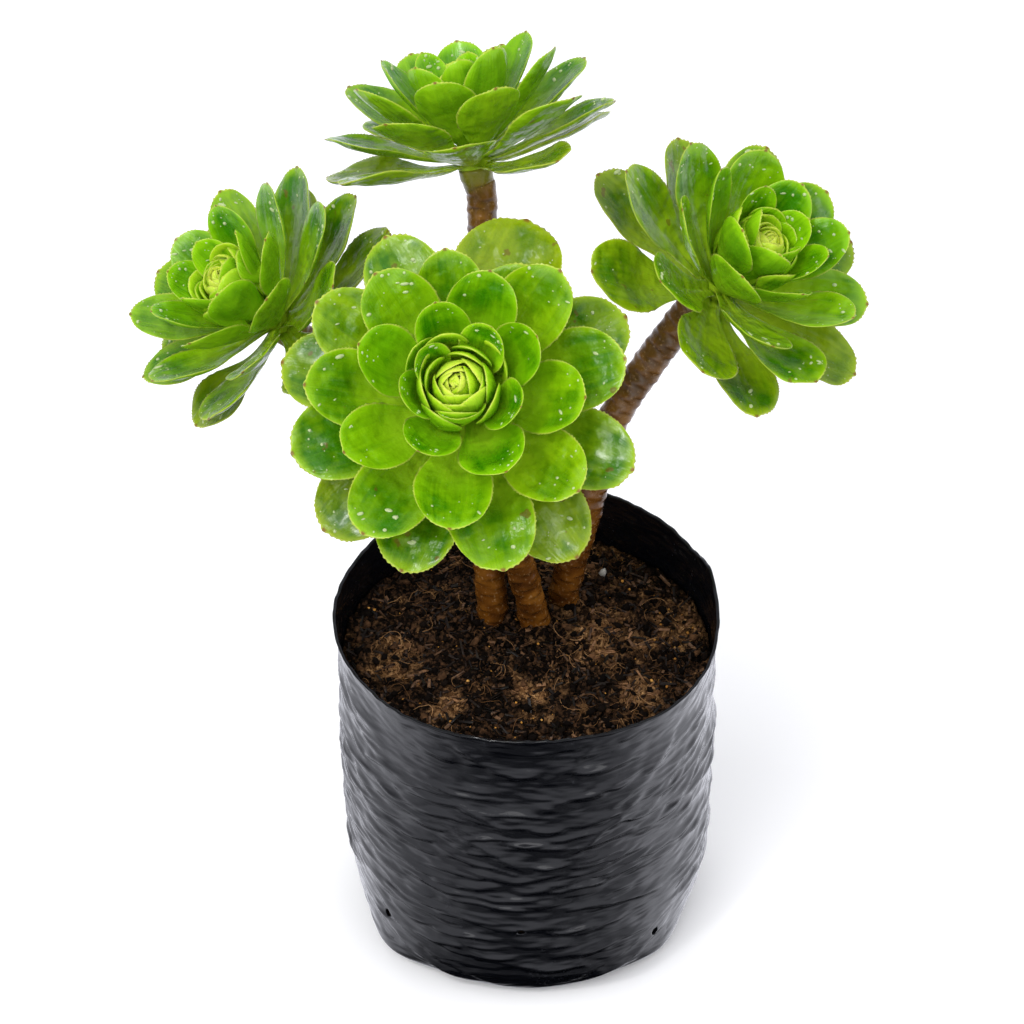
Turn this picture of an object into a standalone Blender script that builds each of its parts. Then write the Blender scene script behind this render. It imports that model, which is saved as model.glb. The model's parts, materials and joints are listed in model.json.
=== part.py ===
"""A branching rosette succulent, four heads on bare stems, in a black film nursery bag.

Metres, +Z up. The origin is the middle of the bag's flat bottom, and the side seen first is -Y.
The bag, its soil, the three stems and the four heads are separate closed solids.
"""
import math

import bmesh
import bpy
import numpy as np
from mathutils import Matrix, Vector

MM = 0.001
FIT_GAP = 0.3 * MM
MERGE = 0.001 * MM

# Nursery bag: thin film, drawn thicker than life so that it is a sound solid
BAG_RADIUS = 80 * MM
FILM = 0.8 * MM
BOTTOM_ROUND = 14 * MM
BOTTOM_RISE = 12 * MM
BASE_OVAL = 0.035
OVAL_RISE = 25 * MM
# Soft lumps of the wall: height, waves round the bag, turn of the wave for each metre up, start
LUMPS = ((0.7 * MM, 3, 34, 0), (0.5 * MM, 5, -58, 2))
CORNER_OUT = 3 * MM
CORNER_ANGLES = (38, 142, 218, 322)
CORNER_SPREAD = math.radians(9)
CORNER_HEIGHT = 9 * MM
CORNER_RISE = 9 * MM
BAG_COLUMNS = 40
WALL_ROWS = (0, 0.018, 0.05, 0.1, 0.2, 0.36, 0.6, 0.86, 1)

# Rim of the film, which stands higher at the back and has one pulled corner
RIM_MEAN = 163 * MM
RIM_TILT = 2 * MM
RIM_WAVE = 3 * MM
RIM_PEAK = 4 * MM
RIM_PEAK_ANGLE = math.radians(18)
RIM_PEAK_SPREAD = math.radians(7)

# Punched drain holes: angle round the bag in degrees, height
DRAIN_RADIUS = 1.8 * MM
DRAIN_SIDES = 10
DRAIN_DEPTH = 12 * MM
DRAIN_HOLES = (
    (-140, 33 * MM), (-45, 26 * MM), (-21, 36 * MM), (-92, 52 * MM),
    (40, 30 * MM), (138, 34 * MM), (90, 50 * MM), (180, 40 * MM),
)

# Soil
SOIL_INSET = FILM + FIT_GAP
SOIL_LEVEL = 140 * MM
SOIL_RINGS = (0.88, 0.68, 0.48, 0.28, 0.1)
MOUND_HEIGHT = 8 * MM
MOUND_SPREAD = 34 * MM
MOUND_CENTRE = (2 * MM, 20 * MM)
CRUMB = 1.1 * MM
# Crumbs of the surface: waves for each metre along X and along Y, start
CRUMB_WAVES = ((310, 90, 0), (-130, 270, 1), (520, -410, 2))
CRUMB_FADE = 6

# Stems
STEM_SIDES_RESOLUTION = 2
STEM_STEP = 6 * MM
CURVE_SHARES = 24
SCAR_RELIEF = 0.05
SCAR_START = 160 * MM
HOLE_GAP = 0.4 * MM
HOLE_TOP = 168 * MM

# Heads
GOLDEN_ANGLE = math.radians(137.508)
CORE_SIDES = 10
CORE_RADIUS = 7 * MM
CORE_TOP = 1.5 * MM
LEAD_IN = 14 * MM
CORE_LIP = 3 * MM
NECK_WIDTH = 0.26
HEAD_START = 0.6
SHOULDER_DROP = 0.18
SHOULDER_IN = 0.3
TIP_POINT = 0.012
LEAF_SINK = 3 * MM
UPPER_SHARE = 0.4
TURN_SPREAD = math.radians(4)
PITCH_SPREAD = math.radians(3)
LENGTH_SPREAD = 0.04
WIDTH_SPREAD = 0.05


def make_material(name, colour, roughness, metallic=0.0):
    """A Principled material with one colour."""
    material = bpy.data.materials.new(name)
    material.use_nodes = True
    material.diffuse_color = (*colour, 1)
    shader = material.node_tree.nodes["Principled BSDF"]
    shader.inputs["Base Color"].default_value = (*colour, 1)
    shader.inputs["Roughness"].default_value = roughness
    shader.inputs["Metallic"].default_value = metallic
    return material


def make_object(name, mesh, collection, material=None):
    """Turns a bmesh into an object in a collection."""
    data = bpy.data.meshes.new(name)
    mesh.to_mesh(data)
    mesh.free()
    if material:
        data.materials.append(material)
    made = bpy.data.objects.new(name, data)
    collection.objects.link(made)
    return made


def bake_modifiers(target):
    """Replaces an object's mesh by its evaluated one."""
    graph = bpy.context.evaluated_depsgraph_get()
    data = bpy.data.meshes.new_from_object(target.evaluated_get(graph))
    target.modifiers.clear()
    target.data = data
    data.name = target.name


def remove_objects(doomed):
    """Removes objects from the file."""
    for item in list(doomed):
        bpy.data.objects.remove(item, do_unlink=True)


def add_boolean(target, name, operation, operands):
    """A Boolean of one solid with every solid of a collection."""
    boolean = target.modifiers.new(name, "BOOLEAN")
    boolean.operation = operation
    boolean.operand_type = "COLLECTION"
    boolean.collection = operands
    boolean.solver = "MANIFOLD"


def keep_largest_body(target):
    """Drops loose scraps, and fills hollows that fusing has sealed, by keeping only the outer skin."""
    mesh = bmesh.new()
    mesh.from_mesh(target.data)
    unseen = set(mesh.verts)
    bodies = []
    while unseen:
        body, edge_of_body = set(), [unseen.pop()]
        while edge_of_body:
            vert = edge_of_body.pop()
            body.add(vert)
            fresh = {edge.other_vert(vert) for edge in vert.link_edges} & unseen
            unseen -= fresh
            edge_of_body.extend(fresh)
        bodies.append(body)
    largest = max(bodies, key=len)
    bmesh.ops.delete(mesh, geom=[vert for vert in mesh.verts if vert not in largest], context="VERTS")
    mesh.to_mesh(target.data)
    mesh.free()


def join_by_union(base, operands):
    """Joins a collection of solids to a base solid, then removes the collection."""
    add_boolean(base, "Join", "UNION", operands)
    bake_modifiers(base)
    remove_objects(operands.objects)
    bpy.data.collections.remove(operands)
    keep_largest_body(base)


def bell(distance, spread):
    """A smooth bump that is 1 at distance 0."""
    return math.exp(-(distance / spread) ** 2)


def turn_between(angle, other):
    """The signed angle from one direction to another, within half a turn."""
    return (angle - other + math.pi) % (2 * math.pi) - math.pi


def bag_radius(angle, height):
    """Distance of the film's outer face from the axis: soft lumps, an oval base, four folded corners."""
    base = BAG_RADIUS - BOTTOM_ROUND * math.exp(-height / BOTTOM_RISE)
    oval = 1 + BASE_OVAL * math.cos(2 * angle) * math.exp(-height / OVAL_RISE)
    lump = sum(size * math.sin(waves * angle + turn * height + start) for size, waves, turn, start in LUMPS)
    lift = bell(height - CORNER_HEIGHT, CORNER_RISE)
    corner = sum(bell(turn_between(angle, math.radians(a)), CORNER_SPREAD) for a in CORNER_ANGLES)
    return base * oval + lump + CORNER_OUT * corner * lift


def rim_height(angle):
    """Height of the film's free edge."""
    wave = RIM_TILT * math.sin(angle) - RIM_WAVE * math.cos(2 * angle)
    peak = RIM_PEAK * bell(turn_between(angle, RIM_PEAK_ANGLE), RIM_PEAK_SPREAD)
    return RIM_MEAN + wave + peak


def film_point(angle, height):
    """A point of the film's outer face."""
    radius = bag_radius(angle, height)
    return Vector((radius * math.cos(angle), radius * math.sin(angle), height))


def soil_bump(x, y):
    """The mound round the stems and the crumbs of the surface."""
    away = math.hypot(x - MOUND_CENTRE[0], y - MOUND_CENTRE[1])
    crumbs = sum(math.sin(along_x * x + along_y * y + start) for along_x, along_y, start in CRUMB_WAVES)
    return MOUND_HEIGHT * bell(away, MOUND_SPREAD) + CRUMB * crumbs


def film_drum():
    """The film's outer face: an open drum turned from its outline, closed flat below, then made lumpy.

    Its quads are split here, so that the film's inner face and the soil bend along the same lines.
    """
    mesh = bmesh.new()
    verts = [mesh.verts.new((1, 0, row)) for row in WALL_ROWS]
    edges = [mesh.edges.new(pair) for pair in zip(verts, verts[1:])]
    bmesh.ops.spin(
        mesh, geom=verts + edges, cent=(0, 0, 0), axis=(0, 0, 1),
        angle=2 * math.pi, steps=BAG_COLUMNS, use_merge=True,
    )
    bottom = [edge for edge in mesh.edges if edge.is_boundary and edge.verts[0].co.z < MERGE]
    bmesh.ops.edgeloop_fill(mesh, edges=bottom)
    bmesh.ops.recalc_face_normals(mesh, faces=mesh.faces)
    for vert in mesh.verts:
        angle = math.atan2(vert.co.y, vert.co.x)
        vert.co = film_point(angle, vert.co.z * rim_height(angle))
    quads = [face for face in mesh.faces if len(face.verts) == 4]
    bmesh.ops.triangulate(mesh, faces=quads, quad_method="FIXED")
    mesh.normal_update()
    return mesh


def make_drain_cutters(cutters):
    """Short rods through the film, one for each punched hole."""
    for number, (degrees, height) in enumerate(DRAIN_HOLES):
        angle = math.radians(degrees)
        mesh = bmesh.new()
        bmesh.ops.create_cone(
            mesh, cap_ends=True, segments=DRAIN_SIDES, radius1=DRAIN_RADIUS, radius2=DRAIN_RADIUS,
            depth=DRAIN_DEPTH,
        )
        turn = Vector((math.cos(angle), math.sin(angle), 0)).to_track_quat("Z", "Y").to_matrix().to_4x4()
        place = Matrix.Translation(film_point(angle, height))
        bmesh.ops.transform(mesh, matrix=place @ turn, verts=mesh.verts)
        make_object(f"drain_cutter_{number + 1}", mesh, cutters)


def make_bag(parts, cutters):
    """The film bag: an open lumpy drum given its thickness inwards, with punched holes."""
    mesh = film_drum()
    bag = make_object("nursery_bag", mesh, parts, make_material("black_film", (0.02, 0.021, 0.025), 0.35))
    shell = bag.modifiers.new("Film", "SOLIDIFY")
    shell.thickness = FILM
    shell.offset = -1
    shell.use_even_offset = True
    drains = bpy.data.collections.new("drain_cutters")
    cutters.children.link(drains)
    make_drain_cutters(drains)
    add_boolean(bag, "Drain holes", "DIFFERENCE", drains)


def whole_degrees(vert):
    """Which way a point lies from the bag's axis, which tells the columns of the soil apart."""
    return round(math.degrees(math.atan2(vert.co.y, vert.co.x)))


def make_soil(parts, cutters):
    """The filling of potting mix, clear of the film all round, with a plain hole for each stem."""
    mesh = film_drum()
    inset = [(vert, vert.normal * vert.calc_shell_factor() * SOIL_INSET) for vert in mesh.verts]
    for vert, inward in inset:
        vert.co -= inward
    rim = [vert for vert in mesh.verts if vert.is_boundary]
    bmesh.ops.delete(mesh, geom=rim, context="VERTS")
    loop = [edge for edge in mesh.edges if edge.is_boundary]
    edge_level = {}
    for vert in {vert for edge in loop for vert in edge.verts}:
        edge_level[whole_degrees(vert)] = vert.co.z
    before = 1
    for ring in SOIL_RINGS:
        made = bmesh.ops.extrude_edge_only(mesh, edges=loop)["geom"]
        loop = [item for item in made if isinstance(item, bmesh.types.BMEdge)]
        for vert in [item for item in made if isinstance(item, bmesh.types.BMVert)]:
            vert.co.x *= ring / before
            vert.co.y *= ring / before
            vert.co.z = SOIL_LEVEL + (edge_level[whole_degrees(vert)] - SOIL_LEVEL) * ring
            vert.co.z += soil_bump(vert.co.x, vert.co.y) * min(1, (1 - ring) * CRUMB_FADE)
        before = ring
    bmesh.ops.edgeloop_fill(mesh, edges=loop)
    bmesh.ops.recalc_face_normals(mesh, faces=mesh.faces)
    soil = make_object("potting_soil", mesh, parts, make_material("potting_mix", (0.05, 0.03, 0.018), 0.95))
    add_boolean(soil, "Stem holes", "DIFFERENCE", cutters)


def smooth_path(points, step):
    """Points at an even step along a smooth curve through a route's points, by the Catmull-Rom rule."""
    route = [Vector(point) for point in points]
    ends = [route[0] * 2 - route[1]] + route + [route[-1] * 2 - route[-2]]
    fine = []
    for before, start, end, after in zip(ends, ends[1:], ends[2:], ends[3:]):
        for share in np.linspace(0, 1, CURVE_SHARES, endpoint=False):
            square, cube = share ** 2, share ** 3
            fine.append(0.5 * (
                2 * start + (end - before) * share
                + (2 * before - 5 * start + 4 * end - after) * square
                + (3 * start - before - 3 * end + after) * cube
            ))
    fine.append(route[-1])
    reach = [0.0]
    for start, end in zip(fine, fine[1:]):
        reach.append(reach[-1] + (end - start).length)
    stops = np.linspace(0, reach[-1], max(3, round(reach[-1] / step) + 1))
    columns = [np.interp(stops, reach, [point[axis] for point in fine]) for axis in range(3)]
    return [Vector(point) for point in zip(*columns)]


def tube(name, points, radii, collection, material=None):
    """A round bar along points, as one welded mesh."""
    curve = bpy.data.curves.new(name, "CURVE")
    curve.dimensions = "3D"
    curve.bevel_depth = 1
    curve.bevel_resolution = STEM_SIDES_RESOLUTION
    curve.use_fill_caps = True
    spline = curve.splines.new("POLY")
    spline.points.add(len(points) - 1)
    for stop, point, radius in zip(spline.points, points, radii):
        stop.co = (*point, 1)
        stop.radius = radius
    guide = bpy.data.objects.new(name + "_guide", curve)
    collection.objects.link(guide)
    graph = bpy.context.evaluated_depsgraph_get()
    mesh = bmesh.new()
    mesh.from_mesh(bpy.data.meshes.new_from_object(guide.evaluated_get(graph)))
    bmesh.ops.transform(mesh, matrix=guide.matrix_world, verts=mesh.verts)
    bmesh.ops.remove_doubles(mesh, verts=mesh.verts, dist=MERGE)
    bpy.data.objects.remove(guide, do_unlink=True)
    return make_object(name, mesh, collection, material)


def stem_path(name):
    """Points along a stem that end just under its head, and their radii, ringed with leaf scars."""
    head = HEADS[name]
    route = [Vector(point) * MM for point in ROUTES[name]]
    route += [head.below(LEAD_IN), head.below(LEAD_IN / 2), head.below(FIT_GAP)]
    path = smooth_path(route, STEM_STEP)
    radii = []
    for number, point in enumerate(path):
        radius = np.interp(number, (0, len(path) - 1), STEM_RADII[name]) * MM
        if point.z > SCAR_START and number < len(path) - 2:
            radius *= 1 + SCAR_RELIEF * (-1) ** number
        radii.append(radius)
    return path, radii


def make_stem_hole(name, path, radii, cutters):
    """A plain hole in the soil that follows a stem's buried end at an even gap."""
    deep = [(point, radius + HOLE_GAP) for point, radius in zip(path, radii) if point.z < HOLE_TOP]
    points, wide = (list(column) for column in zip(*deep))
    points[0] = points[0] - Vector((0, 0, HOLE_GAP))
    return tube(name, points, wide, cutters)


class Head:
    """One head of leaves: where it sits, which way it faces, and how its leaves grow."""

    def __init__(self, name, seat, faces, leaves, first_turn, hand, seed, odd_leaves=None, **growth):
        self.name = name
        self.seat = Vector(seat) * MM
        self.axis = Vector(faces).normalized()
        self.leaves = leaves
        self.first_turn = math.radians(first_turn)
        self.hand = hand
        self.seed = seed
        self.odd_leaves = odd_leaves or {}
        self.growth = growth

    def frame(self):
        """Local X points up the slope of the head, local Z along its axis."""
        uphill = (Vector((0, 0, 1)) - self.axis * self.axis.z).normalized()
        side = self.axis.cross(uphill)
        turn = Matrix((uphill, side, self.axis)).transposed().to_4x4()
        return Matrix.Translation(self.seat) @ turn

    def below(self, distance):
        """A point under the seat, on the head's axis."""
        return self.seat - self.axis * distance

    def leaf(self, number):
        """Sizes of one leaf; number 0 is the oldest and lowest."""
        grow = self.growth
        youth = number / (self.leaves - 1)
        draw = np.random.default_rng(self.seed * 1000 + number)
        turn = self.first_turn + self.hand * GOLDEN_ANGLE * number + draw.uniform(-TURN_SPREAD, TURN_SPREAD)
        pitch = np.interp(youth ** grow["pitch_power"], (0, 1), (grow["lowest_pitch"], grow["inmost_pitch"]))
        bend = np.interp(youth ** 1.5, (0, 1), (grow["lowest_bend"], grow["inmost_bend"]))
        length = 1 - (1 - grow["inmost_length"]) * youth ** grow["length_power"]
        width = 1 - (1 - grow["inmost_width"]) * youth ** 2.2
        return {
            "turn": turn,
            "pitch": math.radians(pitch) + draw.uniform(-PITCH_SPREAD, PITCH_SPREAD),
            "bend": math.radians(bend),
            "length": grow["length"] * MM * length * (1 + draw.uniform(-LENGTH_SPREAD, LENGTH_SPREAD)),
            "width": grow["width"] * MM * width * (1 + draw.uniform(-WIDTH_SPREAD, WIDTH_SPREAD)),
            "cup": 22 + 330 * youth ** 6,
            "height": grow["core"] * MM * youth,
            "out": CORE_RADIUS * (1 - 0.75 * youth),
            "thick": (2.4 - 1.4 * youth) * MM,
            "rows": 5 if youth < 0.4 else 4 if youth < 0.7 else 3,
            **{key: value * MM for key, value in self.odd_leaves.get(number, {}).items()},
        }


def leaf_section(leaf, share):
    """Where a leaf's centre line is at a share of its length, and which way it rises there."""
    pitch, bend, length = leaf["pitch"], leaf["bend"], leaf["length"]
    here = pitch + bend * share
    out = leaf["out"] + length * (math.sin(here) - math.sin(pitch)) / bend
    up = leaf["height"] + length * (math.cos(pitch) - math.cos(here)) / bend
    return out, up, here


def leaf_outline(leaf, across, along):
    """Distance from the centre line and share of the length: a narrow neck, then a round head."""
    half = leaf["width"] / 2
    if along < 0.5:
        neck = along * 2
        spread = NECK_WIDTH + (1 - NECK_WIDTH) * neck * neck * (3 - 2 * neck)
        return half * across * spread, HEAD_START * neck
    head = along * 2 - 1
    shoulder = abs(across) * head * head
    share = HEAD_START + (1 - HEAD_START) * head * (1 - SHOULDER_DROP * shoulder)
    share += TIP_POINT * (1 - abs(across)) * head ** 8
    return half * across * (1 - SHOULDER_IN * shoulder), share


def leaf_point(leaf, across, along, lift):
    """A point of a leaf in its head's frame, lifted off the leaf's middle surface towards its upper side."""
    aside, share = leaf_outline(leaf, across, along)
    out, up, here = leaf_section(leaf, share)
    if along == 0:
        out -= LEAF_SINK * math.cos(here)
        up -= LEAF_SINK * math.sin(here)
    turned = aside * leaf["cup"]
    inward = (1 - math.cos(turned)) / leaf["cup"] + lift * math.cos(turned)
    sideways = math.sin(turned) / leaf["cup"] - lift * math.sin(turned)
    out -= inward * math.sin(here)
    up += inward * math.cos(here)
    turn = leaf["turn"]
    return Vector((
        out * math.cos(turn) - sideways * math.sin(turn),
        out * math.sin(turn) + sideways * math.cos(turn),
        up,
    ))


def leaf_mesh(leaf, frame):
    """One fleshy leaf: a grid and its copy, bowed apart, and merged round their edge.

    Each square is split from its inner corner, so that no triangle has all its corners on the edge.
    """
    mesh = bmesh.new()
    bmesh.ops.create_grid(mesh, x_segments=2, y_segments=leaf["rows"], size=1)
    for face in list(mesh.faces):
        middle = [vert for vert in face.verts if abs(vert.co.x) < 0.5]
        start = min(middle, key=lambda vert: (vert.is_boundary, -vert.co.y))
        sides = [vert for vert in face.verts if abs(vert.co.x) > 0.5]
        bmesh.utils.face_split(face, start, max(sides, key=lambda vert: abs(vert.co.y - start.co.y)))
    upper = list(mesh.verts)
    rim = {vert for vert in upper if vert.is_boundary}
    copied = bmesh.ops.duplicate(mesh, geom=upper + list(mesh.edges) + list(mesh.faces))
    lower = [part for part in copied["geom"] if isinstance(part, bmesh.types.BMFace)]
    bmesh.ops.reverse_faces(mesh, faces=lower)
    for top in upper:
        under = copied["vert_map"][top]
        across, along = top.co.x, (top.co.y + 1) / 2
        flesh = 0 if top in rim else leaf["thick"]
        top.co = frame @ leaf_point(leaf, across, along, UPPER_SHARE * flesh)
        under.co = frame @ leaf_point(leaf, across, along, (UPPER_SHARE - 1) * flesh)
    bmesh.ops.remove_doubles(mesh, verts=mesh.verts, dist=MERGE)
    bmesh.ops.recalc_face_normals(mesh, faces=mesh.faces)
    return mesh


def make_head(head, parts, material):
    """A head of leaves: every leaf is sunk in the green tip of the branch and fused to it."""
    frame = head.frame()
    tall = head.growth["core"] * MM + CORE_LIP
    mesh = bmesh.new()
    bmesh.ops.create_cone(
        mesh, cap_ends=True, segments=CORE_SIDES, radius1=CORE_RADIUS, radius2=CORE_TOP, depth=tall,
    )
    bmesh.ops.transform(mesh, matrix=frame @ Matrix.Translation((0, 0, tall / 2)), verts=mesh.verts)
    core = make_object(f"rosette_{head.name}", mesh, parts, material)
    leaves = bpy.data.collections.new(f"leaves_{head.name}")
    bpy.context.scene.collection.children.link(leaves)
    for number in range(head.leaves):
        make_object(f"leaf_{head.name}_{number}", leaf_mesh(head.leaf(number), frame), leaves)
    join_by_union(core, leaves)
    return core


HEADS = {
    "front": Head(
        "front", seat=(-25, -30, 298), faces=(-0.05, -0.65, 0.76),
        leaves=44, first_turn=135, hand=-1, seed=1, odd_leaves={1: {"width": 43}},
        length=65.5, width=34.5, core=17, lowest_pitch=-4, inmost_pitch=79, pitch_power=1.15,
        lowest_bend=3, inmost_bend=50, inmost_length=0.15, length_power=2.5, inmost_width=0.22,
    ),
    "left": Head(
        "left", seat=(-99.5, 40, 283), faces=(-0.635, -0.14, 0.76),
        leaves=40, first_turn=339, hand=-1, seed=1,
        length=57, width=30, core=18, lowest_pitch=-4, inmost_pitch=79, pitch_power=1.15,
        lowest_bend=20, inmost_bend=50, inmost_length=0.16, length_power=2.5, inmost_width=0.22,
    ),
    "right": Head(
        "right", seat=(73, 38, 301), faces=(0.52, -0.26, 0.81),
        leaves=42, first_turn=218, hand=1, seed=2,
        length=58.5, width=32, core=20, lowest_pitch=-12, inmost_pitch=79, pitch_power=0.9,
        lowest_bend=18, inmost_bend=50, inmost_length=0.16, length_power=2.6, inmost_width=0.22,
    ),
    "back": Head(
        "back", seat=(-21.5, 66.5, 342.5), faces=(-0.19, 0.355, 0.915),
        leaves=40, first_turn=92, hand=1, seed=1,
        length=56.5, width=31, core=16, lowest_pitch=0, inmost_pitch=79, pitch_power=1.15,
        lowest_bend=10, inmost_bend=50, inmost_length=0.16, length_power=2.6, inmost_width=0.22,
    ),
}

# Routes of the stems in millimetres, from their buried foot; each ends in line with its head
ROUTES = {
    "front": ((4, 14, 110), (3.5, 14, 130), (2, 14, 152), (-5, 12.5, 185), (-13, 9, 225), (-21, -2, 262)),
    "left": (
        (-14, 18, 110), (-14, 18, 130), (-15, 18, 152), (-19, 22, 190),
        (-34, 28, 220), (-62, 34, 245), (-85, 40, 264),
    ),
    "right": (
        (12.5, 29, 110), (13.5, 28.5, 130), (16, 28, 152),
        (25, 30, 196), (34, 35, 236), (51, 40, 267),
    ),
    "back": ((-16, 19, 176), (-19, 27, 205), (-20, 40, 250), (-19, 51, 295)),
}
STEM_RADII = {"front": (6.3, 6.6), "left": (6.8, 6.4), "right": (6.5, 6.9), "back": (5.2, 6.2)}


def make_stems(parts, cutters):
    """Three stems: two plain ones, and a forked one that carries two heads."""
    bark = make_material("bark", (0.16, 0.09, 0.035), 0.5)
    for name in ("front", "right", "left"):
        path, radii = stem_path(name)
        stem = tube(f"stem_{name}", path, radii, parts, bark)
        make_stem_hole(f"hole_{name}", path, radii, cutters)
    branches = bpy.data.collections.new("branches")
    bpy.context.scene.collection.children.link(branches)
    tube("branch_back", *stem_path("back"), branches)
    join_by_union(stem, branches)


def main():
    """Builds the plant from its foot up."""
    remove_objects(bpy.data.objects)
    parts = bpy.data.collections.new("potted_rosette_succulent")
    cutters = bpy.data.collections.new("cutters")
    for collection in (parts, cutters):
        bpy.context.scene.collection.children.link(collection)
    make_bag(parts, cutters)
    holes = bpy.data.collections.new("hole_cutters")
    cutters.children.link(holes)
    make_stems(parts, holes)
    make_soil(parts, holes)
    green = make_material("leaf_green", (0.16, 0.33, 0.015), 0.4)
    for head in HEADS.values():
        make_head(head, parts, green)
    for cutter in cutters.all_objects:
        cutter.hide_render = True
        cutter.display_type = "WIRE"


main()
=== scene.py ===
# %% [markdown]
# # A potted rosette succulent
# This lesson dresses a small branching succulent: four heads of fleshy leaves on bare brown
# stems, in a black film nursery bag. The solids of the bag, the soil, the stems and the heads
# come in as a fixed frame. Each of them gets a finer piece that keeps its place and its form.

# %% Load the frame
import json
import math

import bmesh
import bpy
import numpy as np
from mathutils import Matrix, Vector, kdtree, noise

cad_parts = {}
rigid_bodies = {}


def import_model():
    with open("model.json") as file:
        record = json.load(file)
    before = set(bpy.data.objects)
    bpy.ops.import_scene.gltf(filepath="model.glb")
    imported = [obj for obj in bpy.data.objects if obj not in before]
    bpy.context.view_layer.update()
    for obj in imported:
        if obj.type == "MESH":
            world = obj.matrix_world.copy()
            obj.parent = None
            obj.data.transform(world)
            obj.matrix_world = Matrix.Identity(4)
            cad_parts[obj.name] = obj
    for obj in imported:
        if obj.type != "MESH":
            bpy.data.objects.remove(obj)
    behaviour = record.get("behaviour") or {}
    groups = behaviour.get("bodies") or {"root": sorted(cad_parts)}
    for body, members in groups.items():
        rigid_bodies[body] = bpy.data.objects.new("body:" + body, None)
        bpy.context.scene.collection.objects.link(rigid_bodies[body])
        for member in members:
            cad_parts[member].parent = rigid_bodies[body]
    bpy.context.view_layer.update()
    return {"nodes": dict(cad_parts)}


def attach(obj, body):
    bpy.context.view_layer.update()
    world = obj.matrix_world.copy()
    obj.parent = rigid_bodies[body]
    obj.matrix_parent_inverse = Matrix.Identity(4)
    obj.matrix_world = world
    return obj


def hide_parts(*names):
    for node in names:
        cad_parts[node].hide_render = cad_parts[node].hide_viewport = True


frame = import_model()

MM = 0.001
MERGE = 0.001 * MM
print("solids:", sorted(frame["nodes"]))

# %% [markdown]
# ## The view
# The photograph looks down on the plant from the front with a long lens. The camera comes first,
# so that every later step can be looked at from the same place. Turned 49.8 degrees up from
# straight down, it looks 40.2 degrees down from the horizon.

# %% The camera
CAMERA_PLACE = (-0.0067, -0.9658, 1.0342)
CAMERA_TILT = math.radians(49.8)
CAMERA_LENS = 108.8
camera = bpy.data.objects.new("camera", bpy.data.cameras.new("camera"))
bpy.context.scene.collection.objects.link(camera)
camera.location = CAMERA_PLACE
camera.rotation_euler = (CAMERA_TILT, 0, 0)
camera.data.lens = CAMERA_LENS
bpy.context.scene.camera = camera
print("lens", camera.data.lens, "mm, distance", round(camera.location.length, 3), "m")

# %% [markdown]
# ## Lamps and floor
# The plant stands on a white table. Three wide suns light it from all round. They fall evenly
# on the whole table, so that it stays white right out to its edges, and each fills in the soft
# shadow of the others. Nothing mirrors the suns or the table: what the glossy film and leaves
# mirror is the room and the softboxes. The low softbox lights up the crests of the film, the
# front one gives the leaves a pale sheen, and the small one puts a spark on every drop.

# %% A bmesh becomes an object
def as_data(mesh, name):
    """The mesh that a bmesh holds; the bmesh is freed."""
    data = bpy.data.meshes.new(name)
    mesh.to_mesh(data)
    mesh.free()
    return data


def as_object(mesh, name):
    """Links a new object that holds a bmesh."""
    made = bpy.data.objects.new(name, as_data(mesh, name))
    bpy.context.scene.collection.objects.link(made)
    return made


# %% The lamps and the floor
SUN_WIDE = math.radians(60)
SUNS = {
    "sun_left": ((-0.8, -0.5, 1.0), 1.65),
    "sun_right": ((0.8, -0.4, 1.0), 1.25),
    "sun_back": ((0.0, 0.7, 1.0), 0.95),
}
SOFTBOXES = {
    "softbox_low": dict(place=(0.0, -1.6, 0.22), size=(1.8, 0.4), power=3.2),
    "softbox_front": dict(place=(-0.35, -1.1, 1.45), size=(0.9, 0.6), power=7),
    "softbox_spark": dict(place=(-0.6, -0.8, 1.5), size=(0.16, 0.16), power=4),
}
AIM = Vector((0, 0, 0.2))
FLOOR_SIDE = 12


def aim_lamp(name, kind, place, power):
    """A lamp that faces the plant."""
    lamp = bpy.data.objects.new(name, bpy.data.lights.new(name, kind))
    bpy.context.scene.collection.objects.link(lamp)
    lamp.location = place
    lamp.rotation_euler = (AIM - Vector(place)).to_track_quat("-Z", "Y").to_euler()
    lamp.data.energy = power
    return lamp


for name, box in SOFTBOXES.items():
    softbox = aim_lamp(name, "AREA", box["place"], box["power"]).data
    softbox.shape = "RECTANGLE"
    softbox.size, softbox.size_y = box["size"]
for name, (place, strength) in SUNS.items():
    sun = aim_lamp(name, "SUN", place, strength)
    sun.data.angle = SUN_WIDE
    sun.visible_glossy = False
bpy.context.scene.view_settings.view_transform = "Standard"
floor_mesh = bmesh.new()
bmesh.ops.create_grid(floor_mesh, x_segments=1, y_segments=1, size=FLOOR_SIDE / 2)
floor = as_object(floor_mesh, "floor")
floor.visible_glossy = False
print(len(SOFTBOXES), "softboxes,", len(SUNS), "suns and a floor", FLOOR_SIDE, "m wide")

# %% [markdown]
# ## Shader maths that reads like maths
# A material is a web of nodes. Wired by hand it soon fills pages, so a small class wraps a
# node's output: an expression such as `1 - mask * 0.5` then adds its own Math nodes. Every
# other node comes from one method that takes its type, its settings and its inputs.

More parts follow.
